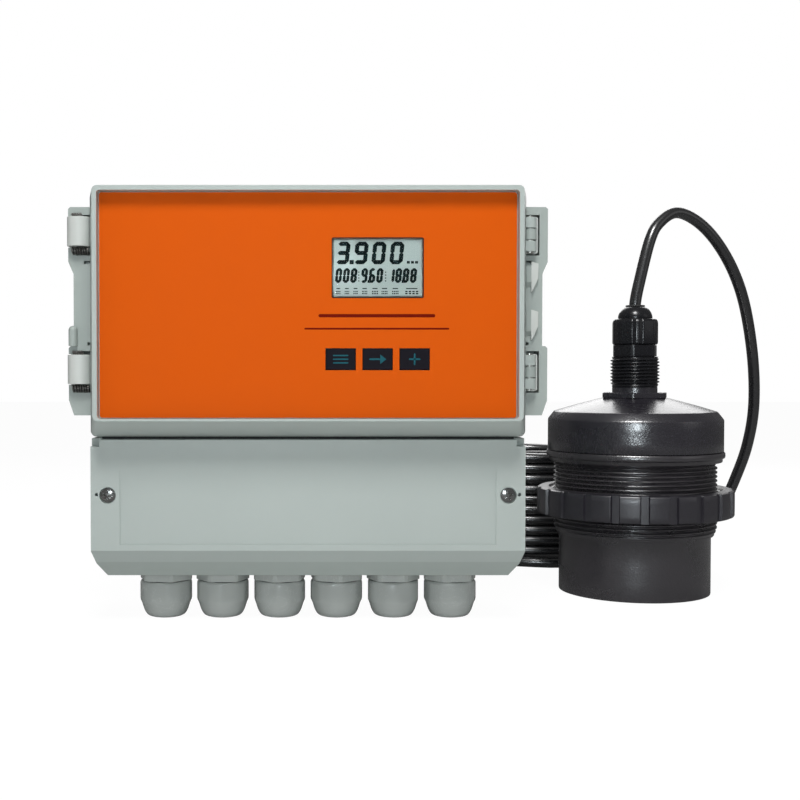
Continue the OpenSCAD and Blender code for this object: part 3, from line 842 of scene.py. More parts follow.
@dataclass
class FrontPanel:
    """Orange film with printed rules, the framed window, the LCD and the keys."""

    display_x: float = CASE[0] + 32.2
    display_z: float = 169.7
    width: float = 41.7
    height: float = 27.1
    front: float = -79.87
    window_back: float = -78.7
    key_z: float = 127.5
    key_pitch: float = 17.1
    key_front: float = -80.01

    def build(self) -> None:
        """Makes the panel's pieces from the back to the front."""
        self._display()
        self._rules()
        self._keys()

    @staticmethod
    def _print(place: Rect, y: float) -> Piece:
        """One printed bar: a thin plate a few hundredths of a millimetre proud."""
        outline = place.outline(0.45 * min(place.w, place.h), 3)
        return Mesh("bar").plate(outline, y - 0.05, 0.08, 0.02)

    def _display(self) -> None:
        """The dark frame around the window and the LCD with its segments."""
        glass = Rect(self.display_x, self.display_z, self.width, self.height)
        edges = glass.grown(0.45).outline(0.9), glass.outline(0.6)
        frame_piece = Mesh("display_frame").flat_ring(*edges, self.front - 0.06, 0.12)
        settle(frame_piece, WINDOW_BLACK, "lid", "key")
        lcd = Mesh("lcd_body").soft_copy("lcd_module", 0.15, 2)
        settle(lcd, LCD_RIM, "lid", "lcd", ["lcd_module"])
        y = self.window_back + 0.07
        field = Mesh("lcd_field").plate(glass.grown(-0.6).outline(0.5), y, 0.1, 0.02)
        settle(field, LCD_FIELD, "lid", "lcd")
        digits = Segments(glass.x, glass.z, y - 0.04).build()
        settle(digits, LCD_INK, "lid", "lcd")

    def _rules(self) -> None:
        """Two printed rules under the display, in place of the lines of print."""
        rules = ((147.6, 54.0, 1.5), (141.6, 67.0, 0.8))
        bars = [self._print(Rect(self.display_x - 0.4, *rule), self.front) for rule in rules]
        settle(Mesh("printed_rules").join(bars), DARK_INK, "lid", "panel")

    def _keys(self) -> None:
        """The three film keys, each with a symbol: bars, an arrow and a plus."""
        for number, (node, body) in enumerate(
            (("key_menu", "menu_key"), ("key_next", "next_key"), ("key_plus", "plus_key"))
        ):
            x = self.display_x + (number - 1) * self.key_pitch
            cap = Mesh(f"{node}_cap").soft_copy(node, 0.35)
            settle(cap, KEY_FILM, body, "key", [node])
            settle(self._symbol(number, x), CYAN_INK, body, "key")

    def _symbol(self, number: int, x: float) -> Piece:
        """Symbol of one key: three bars, an arrow to the right, or a plus.

        Args:
            number: the key, from the left.
            x: middle of the key.

        Returns:
            The new object.
        """
        z, y = self.key_z, self.key_front
        bars = [
            [Rect(x, z + step, 7.2, 0.65) for step in (-1.7, 0, 1.7)],
            [Rect(x - 1.3, z, 5.2, 0.8)],
            [Rect(x, z, 5.4, 0.8), Rect(x, z, 0.8, 5.4)],
        ][number]
        parts = [self._print(bar, y) for bar in bars]
        if number == 1:
            head = np.array([[4.0, 0.0], [1.2, 2.2], [1.2, -2.2]]) + [x, z]
            parts.append(Mesh("arrow_head").plate(head, y - 0.05, 0.08, 0.02))
        return Mesh(("menu_symbol", "next_symbol", "plus_symbol")[number]).join(parts)


@dataclass
class Digit:
    """One seven-segment digit: its left edge, foot, front, width, height and stroke."""

    x: float
    z: float
    y: float
    w: float
    h: float
    t: float

    LIT: ClassVar[dict[str, str]] = {
        "0": "abcdef", "1": "bc", "3": "abgcd", "6": "afgedc", "8": "abcdefg", "9": "abcdfg",
    }

    def build(self, text: str) -> list[Piece]:
        """Makes the lit segments, and the point if the text has one.

        Args:
            text: a digit, with or without a point.

        Returns:
            The new objects.
        """
        parts = [self._segment(which) for which in self.LIT[text[0]]]
        if text.endswith("."):
            t = self.t
            point = Rect(self.x + self.w + 0.45 * t, self.z + 0.5 * t, t, t)
            parts.append(Segments.mark(point, self.y))
        return parts

    def _segment(self, which: str) -> Piece:
        """One pointed segment: a six-sided bar, level for a, g and d, else upright.

        Every point leans to the right by a tenth of its height over the digit's middle.

        Args:
            which: the segment's letter.

        Returns:
            The new object.
        """
        w, h, t, level = self.w, self.h, self.t, which in "agd"
        cx = w / 2 if level else t / 2 if which in "fe" else w - t / 2
        cz = {"a": h - t / 2, "g": h / 2, "d": t / 2}.get(which)
        if cz is None:
            cz = 0.75 * h - t / 4 if which in "fb" else 0.25 * h + t / 4
        long = (w if level else h / 2 + t / 2) / 2 - 0.28 * t
        half = [[long, 0], [long - t / 2, t / 2], [t / 2 - long, t / 2]]
        outline = np.array(half + [[-a, -b] for a, b in half])
        outline = outline if level else outline[:, ::-1] * [-1, 1]
        outline = outline + [self.x + cx, self.z + cz]
        outline[:, 0] += 0.1 * (outline[:, 1] - self.z - h / 2)
        return Mesh("segment").plate(outline, self.y, 0.05, 0.01)


@dataclass
class Segments:
    """Seven-segment digits and small marks on the LCD."""

    x: float
    z: float
    y: float

    LARGE: ClassVar[tuple[float, ...]] = (1.7, 6.2, 10.4, 1.95)
    SMALL: ClassVar[tuple[float, ...]] = (-6.9, 3.0, 6.8, 1.3)

    def build(self) -> Piece:
        """Makes the digits and the small marks around them.

        Returns:
            All the dark marks of the display as one piece.
        """
        parts: list[Piece] = []
        upper = zip(("3.", "9", "0", "0"), (-16.0, -7.6, 0.6, 8.9))
        places = (-18.0, -14.5, -11.0, -6.1, -2.5, 1.0, 6.4, 9.7, 13.1, 16.6)
        lower = zip(("0", "0", "8", "9.", "6", "0", "1", "8.", "8", "8"), places)
        for group, (foot, w, h, t) in ((upper, self.LARGE), (lower, self.SMALL)):
            for text, at in group:
                digit = Digit(self.x + at - w / 2, self.z + foot, self.y, w, h, t)
                parts.extend(digit.build(text))
        marks = [(at, -6.0 + 1.35 * row, 0.55, 0.55) for at in (-8.7, 3.7) for row in range(4)]
        marks += [(14.2 + 1.9 * step, 2.6, 1.4, 1.2) for step in range(3)]
        for at, wide in (
            (-18.2, 2.2), (-14.2, 2.2), (-10.2, 2.2), (-6.0, 2.6), (-1.2, 3.0), (3.2, 3.0),
            (8.2, 3.2), (15.8, 6.6),
        ):
            marks.append((at, -9.5, 0.8 * wide, 0.45))
            marks += [
                (at + (step - 1.5) * wide / 4, -10.9 - row * 0.95, 0.17 * wide, 0.6)
                for row in range(2) for step in range(4)
            ]
        for x, z, w, h in marks:
            parts.append(self.mark(Rect(self.x + x, self.z + z, w, h), self.y))
        return Mesh("lcd_segments").join(parts)

    @staticmethod
    def mark(place: Rect, y: float) -> Piece:
        """One small upright mark."""
        return Mesh("mark").plate(place.outline(0.08, 2), y, 0.05, 0.01)


@dataclass
class CoverScrews:
    """Two cross-head screws in the terminal cover."""

    offset: float = 94.8
    z: float = 63.2
    y: float = -68.3
    r: float = 3.5
    turn: float = 0.35
    dome: float = 0.55
    cross_half: float = 0.62
    cross_reach: float = 2.1
    cross_depth: float = 1.3

    def build(self) -> None:
        """Both heads with their cross recess, and their shanks."""
        parts = [self._head(CASE[0] + s * self.offset, s * self.turn) for s in (-1, 1)]
        screws = Mesh("cross_head_screws").join(parts)
        settle(screws, SCREW_STEEL, "cover", "steel", ["cover_screws"])

    def _head(self, x: float, turn: float) -> Piece:
        """A domed head whose middle dips into a cross.

        The front is y = -dome (1 - (r/R)^2), pushed back by cross_depth where the point
        lies within cross_half of either arm and within cross_reach of the middle.

        Args:
            x: the head's middle.
            turn: how far the cross is turned.

        Returns:
            The new object, with its shank.
        """
        rings = np.concatenate([np.linspace(0.02, self.r, 26), [self.r, 1.5, 1.5, 0.02]])
        back = np.concatenate([np.zeros(26), [1.6, 1.6, 15.5, 15.5]])
        a = around(96)
        px, pz = np.outer(rings, np.cos(a)), np.outer(rings, np.sin(a))
        c, s = math.cos(turn), math.sin(turn)
        u, v = px * c + pz * s, -px * s + pz * c
        arm = np.minimum(np.abs(u), np.abs(v))
        reach = np.maximum(np.abs(u), np.abs(v))
        deep = np.clip((self.cross_half - arm) / 0.2, 0, 1)
        deep *= np.clip((self.cross_reach - reach) / 0.25, 0, 1)
        dome = -self.dome * (1 - (np.minimum(rings, self.r) / self.r) ** 2)[:, None]
        front = np.arange(len(rings)) < 26
        y = np.where(front[:, None], dome + self.cross_depth * deep, back[:, None])
        points = np.stack([x + px, self.y + y, self.z + pz], -1)
        return Mesh("head", 50).surface(points, rod=True)


@dataclass
class CaseGlands:
    """Six cable glands under the case: hexagon collars and domed cap nuts."""

    pitch: float = 28.4
    y: float = -36.0
    to_flat: float = 12.5
    hexagon_above: float = 5.0
    hexagon_beyond: float = 10.5

    def build(self) -> None:
        """One collar and one cap for each gland."""
        for number in range(1, 7):
            centre = np.array([CASE[0] + (number - 3.5) * self.pitch, self.y, 0.0])
            cap = self._cap(f"gland_{number}_cap", centre, math.radians(number * 23))
            settle(cap, GLAND_GREY, "instrument", "gland", [f"gland_cap_{number}"])
            body = Mesh(f"gland_{number}_collar").soft_copy(f"gland_body_{number}", 0.5, 2)
            settle(body, GLAND_GREY, "instrument", "gland", [f"gland_body_{number}"])

    def _cap(self, name: str, centre: np.ndarray, turn: float) -> Piece:
        """A cap nut: rings of a dome below and a rounded hexagon above.

        The radius at angle a is the smaller of the ring's own radius and the hexagon's
        flat distance over the cosine of the angle to the nearest flat, blended softly.
        The inside is a plain bore.

        Args:
            name: the piece's name.
            centre: a point on the gland's axis.
            turn: how far the hexagon is turned.

        Returns:
            The new object.
        """
        outer = [(6.6, 0.1), (7.8, 0.02), (8.6, 0.25), (9.3, 0.65), (9.8, 1.2), (10.25, 1.85)]
        outer += [(10.6, 2.5), (10.95, 3.25), (11.4, 4.6), (11.9, 6.2), (12.3, 7.2), (12.7, 8.0)]
        outer += [(12.9, 8.9), (12.9, 12), (12.9, 16.6), (12.7, 17.3), (12.2, 17.9), (9.6, 17.9)]
        outer += [(9.6, 3.2), (6.3, 3.2), (6.3, 0.5)]
        a, shaped = around(144), []
        flat = self.to_flat / np.cos(flat_angle(a, turn - np.pi / 6))
        for r, z in outer:
            hexed = z > self.hexagon_above and r > self.hexagon_beyond
            shaped.append((soft_min(r + 0 * a, flat, 8) if hexed else r, z))
        return Mesh(name, 30).turned(shaped, centre, len(a))


@dataclass
class Probe:
    """Threaded probe: body, cap with neck thread, ring nut and its cable gland."""

    steps: int = 192
    thread_r: float = 43.95
    thread_depth: float = 1.45
    pitch: float = 2.309
    neck_r: float = 13.22
    neck_pitch: float = 1.814
    plate_flats: float = 33.7
    plate_low: float = 107.0
    plate_high: float = 110.1
    notches: int = 22
    nut_r: float = 53.0
    nut_low: float = 42.8
    nut_high: float = 57.5
    notch_depth: float = 1.5
    notch_half: float = 2.35

    def build(self) -> None:
        """Every piece of the probe."""
        body = self._threaded(
            "threaded_body", self._body_profile(), self.pitch, self.thread_depth, (32.6, 71.8)
        )
        settle(body, BODY_BLACK, "instrument", "probe", ["probe_body"])
        cap = Mesh("cap_cone", 50).turned(self._cap_profile(), PROBE, self.steps)
        both = Mesh("probe_cap_shell").join([cap, self._neck_plate()])
        settle(both, PROBE_BLACK, "instrument", "probe", ["probe_cap"])
        neck = self._threaded(
            "neck_thread", self._neck_profile(), self.neck_pitch, 1.1, (113.0, 129.4)
        )
        settle(neck, GLAND_BLACK, "instrument", "probe")
        settle(self._ring_nut(), NUT_BLACK, "nut", "probe", ["ring_nut"])
        self._gland()

    def _body_profile(self) -> list[tuple[float, float]]:
        """The body, down its bore and up its outside.

        Returns:
            Pairs of radius and height.
        """
        rows = np.linspace(32.6, 71.8, 150)
        out = [(36.0, 77.9), (36.0, 0.3), (36.4, 0.0), (40.2, 0.0), (40.7, 0.15), (40.85, 0.7)]
        out += [(40.85, 10.0), (40.85, 20.0), (40.85, 31.9), (41.0, 32.2), (42.2, 32.2)]
        out += [(self.thread_r, float(z)) for z in rows]
        out += [(43.2, 72.5), (46.3, 72.5), (46.6, 72.8), (46.6, 74.2), (46.9, 74.6)]
        out += [(47.5, 74.7), (47.9, 75.1), (48.0, 76.0), (47.9, 77.4), (47.5, 77.9)]
        return out

    def _cap_profile(self) -> list[tuple[float, float]]:
        """The cap, up its outside and down its inside.

        Returns:
            Pairs of radius and height.
        """
        out = [(33.0, 70.0), (35.9, 70.0), (35.9, 78.1), (46.9, 78.1), (47.25, 78.5)]
        out += [(47.25, 84.0), (47.25, 90.0), (47.25, 94.9), (47.1, 95.5), (46.7, 96.1)]
        out += [(44.2, 99.3), (43.7, 99.75), (43.0, 100.0), (33.1, 103.0), (19.7, 106.6)]
        out += [(16.0, 107.4), (12.2, 107.6), (12.2, 112.6), (8.0, 112.6), (8.0, 103.0)]
        return out + [(33.0, 94.0)]

    def _neck_profile(self) -> list[tuple[float, float]]:
        """The neck's thread, up its outside.

        Returns:
            Pairs of radius and height.
        """
        out = [(8.0, 112.62), (12.2, 112.62)]
        out += [(self.neck_r, float(z)) for z in np.linspace(113.0, 129.4, 90)]
        return out + [(12.6, 129.8), (12.2, 130.0), (8.0, 130.0)]

    def _threaded(
        self,
        name: str,
        profile: Sequence[tuple[float, float]],
        pitch: float,
        depth: float,
        span: tuple[float, float],
    ) -> Piece:
        """A turned piece with a helical thread over part of its height.

        The radius of a point at angle a and height z is the profile's radius less the
        depth between the teeth, where a tooth is a rounded triangle wave of
        z / pitch - a / 2 pi. The teeth fade out over 1.5 pitches at the lower end of the
        span and over 0.7 at its upper end.

        Args:
            name: the piece's name.
            profile: closed profile of radius and height.
            pitch: distance between crests.
            depth: depth of the thread.
            span: lower and upper end of the thread.

        Returns:
            The new object.
        """
        rows, a, (low, high) = np.asarray(profile, float), around(self.steps), span
        radius, z = rows[:, :1], rows[:, 1:]
        turn = (z / pitch - a / (2 * np.pi)) % 1.0
        tooth = ease(np.clip(1.25 * np.abs(2 * turn - 1) - 0.1, 0, 1))
        fade = np.clip((z - low) / (1.5 * pitch), 0, 1) * np.clip((high - z) / (0.7 * pitch), 0, 1)
        cut = depth * (1 - fade * tooth) * ((z >= low) & (z <= high))
        return Mesh(name, 50).turned(list(zip(radius - cut, rows[:, 1])), PROBE, self.steps)

    def _neck_plate(self) -> Piece:
        """A hexagon under the neck, with slightly round corners and edges.

        Returns:
            The new object.
        """
        a, half, low, high = around(144), self.plate_flats / 2, self.plate_low, self.plate_high
        flat = half / np.cos(flat_angle(a, math.radians(12)))
        outer = soft_min(flat, half / math.cos(np.pi / 6) - 0.4, 6)
        rows = [(12.0, low), (outer - 0.4, low), (outer, low + 0.35)]
        rows += [(outer, high - 0.35), (outer - 0.35, high - 0.05), (12.0, high)]
        return Mesh("neck_plate", 30).turned(rows, PROBE, len(a))

    def _ring_nut(self) -> Piece:
        """A castellated ring nut.

        Its outer radius is nut_r, less notch_depth inside the notches. A notch is a soft
        step in the angle, and the profile's corners are round.

        Returns:
            The new object.
        """
        count, r, low, high = self.notches, self.nut_r, self.nut_low, self.nut_high
        a, step = around(count * 28), 2 * np.pi / count
        phase = (a - math.radians(-90 - 9.2)) % step
        off = np.minimum(phase, step - phase) * r
        notch = ease(np.clip((self.notch_half - off) / 0.35, 0, 1))
        rows = [(44.15, low + 0.8), (44.9, low), (50.6, low), (r - 1.4, low + 0.1)]
        rows += [(r - 0.4, low + 0.5), (r - 0.05, low + 1.1), (r, low + 4), (r, high - 4)]
        rows += [(r - 0.05, high - 1.1), (r - 0.4, high - 0.5), (r - 1.4, high - 0.1)]
        rows += [(50.6, high), (46.8, high), (46.2, high - 0.5), (45.6, high - 1.2)]
        rows += [(44.15, high - 1.4)]
        floor = r - self.notch_depth - 0.05
        rows = [(out - notch * np.clip(out - floor, 0, self.notch_depth), z) for out, z in rows]
        return Mesh("castellated_nut").turned(rows, PROBE, len(a))

    def _gland(self) -> None:
        """The probe's cable gland: hexagon, fluted cap nut, dome and seal lip."""
        body = Mesh("probe_gland_hexagon").soft_copy("probe_gland_body", 0.3, 2)
        settle(body, GLAND_BLACK, "instrument", "probe", ["probe_gland_body"])
        a = around(180)
        near = flat_angle(a, math.radians(22))
        lobe = np.clip(1 - np.abs(np.abs(near) - 0.36) / 0.07, 0, 1)
        flat = np.minimum(12.0 / np.cos(near), 12.35) - 0.55 * lobe
        rows = [(9.0, 136.6), (flat - 0.8, 136.5), (flat - 0.1, 137.1), (flat, 138.0)]
        rows += [(flat, 148.4), (flat - 0.25, 149.6), (flat - 0.9, 150.5), (10.0, 150.9)]
        rows += [(9.2, 150.95), (9.3, 151.6), (9.1, 152.8), (8.6, 154.2), (7.8, 155.5)]
        rows += [(6.9, 156.5), (5.8, 157.3), (5.2, 157.5), (4.6, 157.2), (4.4, 150.2), (9, 150)]
        cap = Mesh("probe_gland_nut", 30).turned(rows, PROBE, len(a))
        settle(cap, GLAND_BLACK, "instrument", "probe", ["probe_gland_cap"])
        lip = [(3.3, 139.8), (6.4, 139.8), (6.4, 149.9), (4.3, 150.0), (4.3, 157.4)]
        lip += [(5.2, 157.7), (5.3, 158.1), (5.0, 158.4), (3.3, 158.3)]
        seal = Mesh("probe_gland_lip").turned(lip, PROBE, 64)
        settle(seal, RUBBER, "instrument", "gasket", ["probe_gland_seal"])


@dataclass
class Cable:
    """The probe cable: its route, the coil, the ties and the bare end.

    span is the number of points between two points of the route, tail the number along
    the free end, and upright_spans tells where the cable has come down to the floor.
    """

    r: float = 3.2
    coil_x: float = 85.3
    coil_y: float = 166.0
    coil_r: float = 49.0
    stray: float = 0.15
    span: int = 8
    tail: int = 12
    upright_spans: int = 18
    tie_angles: tuple[float, float] = (15.0, 250.0)
    tie_half: float = 2.0
    tie_thick: float = 1.0
    tie_gap: float = 0.05

    ROUTE: ClassVar[np.ndarray] = np.array(
        [[121.8, 32, 141], [121.8, 32, 152], [121.8, 32, 160], [124.4, 33, 172], [130.6, 35, 195],
         [136.8, 38, 205], [147.1, 42, 211], [160.6, 48, 207], [174, 54, 196], [186.6, 61, 179],
         [196.1, 68, 158], [203.7, 76, 128], [207.3, 84, 100], [205.8, 90, 77], [201.2, 95, 58],
         [195.5, 99, 42], [186.9, 104, 26], [175.2, 108, 12], [159.3, 110, 4.6], [141.5, 108, 3.5],
         [123, 106, 3.5], [106, 104.5, 3.5], [89.3, 103.6, 3.5]], float
    )

    def build(self) -> None:
        """The cable as one tube, its ties and its stripped cores."""
        line = self.line()
        upright = np.zeros_like(line)
        start = self.span * self.upright_spans
        wound = np.clip((np.arange(len(line)) - start) / 20.0, 0, 1)
        upright[:, 1] = 1 - wound
        upright[:, 2] = wound
        tube = Mesh("cable", 60).tube(line, self.r, 16, upright)
        nodes = ["probe_cable", "cable_coil", "cable_end"]
        settle(tube, CABLE_BLACK, "instrument", "cable", nodes)
        cores = settle(self._cores(line[-1]), None, "instrument", "core", ["cable_cores"])
        ties = self._ties(line[self.span * (len(self.ROUTE) - 1):1 - self.tail])
        settle(ties, TIE_BLACK, "instrument", "tie", ["cable_ties"])
        steps = np.linalg.norm(np.diff(line, axis=0), axis=1).sum() * MM
        LOG.info("cable line is %.3f m", steps)

    def line(self) -> np.ndarray:
        """The cable's centre line in millimetres: route, coil and free end.

        The coil is wound clockwise in three columns: up the outer one, down the middle
        one and up the inner one. Radius and height are straight functions of the turn
        between knots, smoothed over a few points, and the angle falls evenly. The free
        end leaves the inner column over the top, where the turns run away from the viewer.

        Returns:
            An array of points.
        """
        route = self._smooth(self.ROUTE, self.span)
        gap = 2 * self.r
        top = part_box("cable_coil")[1][2] / MM - self.r
        low = self.r + 1.5
        start = self.ROUTE[-1] - [self.coil_x, self.coil_y, 0]
        a0 = math.degrees(math.atan2(start[1], start[0]))
        turns = (top - low) / gap
        knots = np.cumsum([0, 0.2, turns, 0.12, turns, 0.12])
        last = math.floor(knots[-1] + turns - (a0 - 180) / 360) + (a0 - 180) / 360
        knots = np.append(knots, [last - 0.2, last - 0.04, last])
        climb = low + gap * (last - 0.2 - knots[5])
        height = [start[2], low, top, top, low, low, climb, top + gap, top + gap]
        outer = self.coil_r + gap
        radius = [math.hypot(start[0], start[1]), outer, outer, self.coil_r, self.coil_r]
        radius += [outer - 2 * gap] * 4
        turn = np.arange(0, last, 1 / 40)
        soft = np.hanning(11) / np.hanning(11).sum()
        r, z = (self._soften(np.interp(turn, knots, v), soft) for v in (radius, height))
        r = r + self.stray * np.sin(13.7 * turn) * np.clip(turn - 0.5, 0, 1)
        a = np.radians(a0 - 360 * turn)
        x, y = self.coil_x + r * np.cos(a), self.coil_y + r * np.sin(a)
        coil = np.stack([x, y, z], -1)[1:]
        t = np.linspace(0, 1, self.tail)[1:, None]
        tip = np.array([self.coil_x - self.coil_r + 7, self.coil_y + 30, coil[-1][2]])
        return np.concatenate([route, coil, coil[-1] * (1 - t) + tip * t])

    def _ties(self, coil: np.ndarray) -> Piece:
        """Two ties pulled tight around the coil, each with its head on top.

        In the plane through the coil's axis at the tie's angle, the tie follows the
        tight outline of the turns there. In each direction u it lies at the turn that
        reaches furthest, plus u times the cable's radius. Nothing goes below the floor.

        Args:
            coil: the coil's centre line.

        Returns:
            Both ties as one piece.
        """
        parts = []
        away = coil[:, :2] - [self.coil_x, self.coil_y]
        angle, far = np.arctan2(away[:, 1], away[:, 0]), np.hypot(away[:, 0], away[:, 1])
        for turn in np.radians(self.tie_angles):
            near = np.abs((angle - turn + np.pi) % (2 * np.pi) - np.pi) < 0.09
            turns = np.stack([far[near], coil[near, 2]], -1)
            a = around(72)
            u = np.stack([np.cos(a), np.sin(a)], -1)
            edge = turns[(turns @ u.T).argmax(0)]
            inside = edge + (self.r + self.tie_gap) * u
            outside = inside + self.tie_thick * u
            outside[:, 1] = np.maximum(outside[:, 1], self.tie_gap)
            half = self.tie_half
            rows = [(inside, -half), (outside, -half), (outside, half), (inside, half)]
            parts.append(Mesh("tie").surface(self._upright(rows, turn)))
            block = outside[15] + u[15] + 2.4 * np.clip(1.4 * u, -1, 1)
            rows = [(block * 0.9 + outside[15] * 0.1, -3.0), (block, -2.6), (block, 2.6)]
            rows.append((block * 0.9 + outside[15] * 0.1, 3.0))
            parts.append(Mesh("tie_head").surface(self._upright(rows, turn), rod=True))
        return Mesh("coil_ties").join(parts)

    def _upright(self, rows: Sequence[tuple[np.ndarray, float]], turn: float) -> np.ndarray:
        """Puts outlines of radius and height at an angle of the coil, each shifted sideways.

        Args:
            rows: outlines, each with its shift.
            turn: the angle about the coil's axis.

        Returns:
            An array of rows, points and three coordinates.
        """
        out, side = np.array([math.cos(turn), math.sin(turn)]), [-math.sin(turn), math.cos(turn)]
        points = []
        for outline, shift in rows:
            flat = outline[:, :1] * out + shift * np.array(side) + [self.coil_x, self.coil_y]
            points.append(np.concatenate([flat, outline[:, 1:]], -1))
        return np.stack(points)

    @staticmethod
    def _soften(values: np.ndarray, weights: np.ndarray) -> np.ndarray:
        """A running mean with the given weights; the ends are held."""
        half = len(weights) // 2
        return np.convolve(np.pad(values, half, "edge"), weights, "valid")

    @staticmethod
    def _smooth(route: np.ndarray, steps: int) -> np.ndarray:
        """A Catmull-Rom curve: each span mixes its two ends and their neighbours.

        Args:
            route: the points that it passes.
            steps: points for each span.

        Returns:
            The curve's points.
        """
        padded = np.concatenate([route[:1], route, route[-1:]])
        a, b, c, d = padded[:-3], padded[1:-2], padded[2:-1], padded[3:]
        t = np.linspace(0, 1, steps, endpoint=False)[:, None, None]
        square, cube = 2 * a - 5 * b + 4 * c - d, 3 * b - a - 3 * c + d
        spans = 0.5 * (2 * b + (c - a) * t + square * t**2 + cube * t**3)
        return np.concatenate([spans.transpose(1, 0, 2).reshape(-1, 3), route[-1:]])

    def _cores(self, end: np.ndarray) -> Piece:
        """Four insulated wires, fanned out a little.

        Args:
            end: the end of the cable's centre line.

        Returns:
            All four as one piece.
        """
        parts = []
        for number, colour in enumerate(CoreColour):
            a = math.radians(45 + 90 * number)
            t = np.linspace(0, 1, 12)[:, None]
            start = np.array([math.cos(a) * 1.45, -2.0, math.sin(a) * 1.45])
            reach = np.array([math.cos(a) * 1.6, 27.0, math.sin(a) * 1.0])
            line = end + start * (1 - t) + (start + reach) * t
            up = np.tile([0.0, 0.0, 1.0], (12, 1))
            wire = Mesh(f"core_{number}", 60).tube(line, 0.9, 12, up)
            finish = Moulded(f"core {colour.name.lower()}", colour.value, 0.4, 2000, 0.02)
            parts.append(dress(wire, finish))
        return Mesh("stripped_cores").join(parts)


@dataclass
class KeptNodes:
    """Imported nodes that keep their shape: film, window, boards, pins, gaskets and seals."""

    FINISH: ClassVar[dict[str, Finish]] = {
        "front_panel": ORANGE_FILM, "display_window": WINDOW, "sensing_face": RESIN,
        "piezo_disc": CERAMIC, "gland_locknuts": GLAND_GREY, "main_board": BOARD,
        "terminal_board": BOARD, "display_board": BOARD, "power_module": POTTING,
        "relay_left": RELAY_BLUE, "relay_right": RELAY_BLUE, "power_terminals": TERMINAL,
        "signal_terminals": TERMINAL, "board_screws": STEEL, "display_screws": STEEL,
        "hinge_pin_upper": STEEL, "hinge_pin_lower": STEEL, "latch_pin_upper": STEEL,
        "latch_pin_lower": STEEL, "lid_gasket": RUBBER, "cover_gasket": RUBBER,
        **{f"gland_seal_{number}": SEAL for number in range(1, 7)},
    }

    def build(self) -> None:
        """Gives each of the nodes its finish."""
        for node, finish in self.FINISH.items():
            dress(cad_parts[node], finish)
            LOG.info("dressed %s", node)


@dataclass
class BoardParts:
    """Small parts on the boards: chips, capacitors, resistors and ribbon sockets."""

    main_face: float = -15.75
    lid_face: float = -88.85
    chips: tuple[tuple[float, ...], ...] = (
        (-2, 174, 14, 14, 1.8), (24, 174, 10, 6, 1.6), (42, 174, 10, 6, 1.6), (58, 173, 6, 5, 1.4),
        (-66, 150, 6, 9, 2.2), (24, 164, 5, 4, 1.2), (-40, 79, 12, 5, 1.6), (30, 79, 12, 5, 1.6),
    )
    cans: tuple[tuple[float, float, float, float], ...] = (
        (56, 132, 5, 13), (56, 145, 5, 13), (56, 157, 4, 10), (-66, 166, 3.2, 8),
        (-66, 130, 3.2, 8),
    )
    lid_chips: tuple[tuple[float, ...], ...] = (
        (32, 150, 12, 12, 1.6), (52, 148, 8, 5, 1.4), (12, 148, 5, 5, 1.4), (50, 132, 6, 4, 1.2),
    )

    def build(self) -> None:
        """Makes everything soldered on the main, terminal and display boards."""
        chips = [self._block(*chip, self.main_face) for chip in self.chips]
        cans = [self._can(*can) for can in self.cans]
        tops = [self._can(x, z, r - 0.7, tall + 0.08) for x, z, r, tall in self.cans]
        small = [
            self._block(10 + 4.2 * i, z, 2.2, 1.3, 0.6, self.main_face)
            for z in (167, 181, 115) for i in range(10) if (z, i) not in ((167, 3), (167, 4))
        ]
        socket = [self._block(-38, 176, 28, 6.5, 8, self.main_face)]
        lid_chips = [self._block(*chip[:4], -chip[4], self.lid_face) for chip in self.lid_chips]
        lid_socket = [self._block(32, 183, 28, 6.5, -6.5, self.lid_face)]
        for name, parts, finish, body, slot in (
            ("board_chips", chips, POTTING, "instrument", "potted_module"),
            ("board_capacitors", cans, TIE_BLACK, "instrument", "potted_module"),
            ("capacitor_tops", tops, STEEL, "instrument", "steel"),
            ("board_resistors", small, CERAMIC, "instrument", "board"),
            ("main_socket", socket, SEAL, "instrument", "terminal"),
            ("display_chips", lid_chips, POTTING, "lid", "potted_module"),
            ("display_socket", lid_socket, SEAL, "lid", "terminal"),
        ):
            settle(Mesh(name).join(parts), finish, body, slot)

    @staticmethod
    def _block(x: float, z: float, w: float, h: float, tall: float, face: float) -> Piece:
        """A box on a board's face.

        Args:
            x: its middle, from the middle of the case.
            z: its middle.
            w: width.
            h: height on the board.
            tall: how far it stands up, or a negative number for the board's rear face.
            face: the face's Y, from the middle of the case.

        Returns:
            The new object.
        """
        outline = Rect(CASE[0] + x, z, w, h).outline(0.2, 2)
        front = CASE[1] + face - max(tall, 0.0)
        return Mesh("block").plate(outline, front, abs(tall), 0.15)

    def _can(self, x: float, z: float, r: float, tall: float) -> Piece:
        """A round can that stands on the main board.

        Args:
            x: its middle, from the middle of the case.
            z: its middle.
            r: radius.
            tall: how far it stands up.

        Returns:
            The new object.
        """
        a = around(32)
        outline = np.stack([CASE[0] + x + r * np.cos(a), z + r * np.sin(a)], -1)
        return Mesh("can").plate(outline, CASE[1] + self.main_face - tall, tall, 0.4)


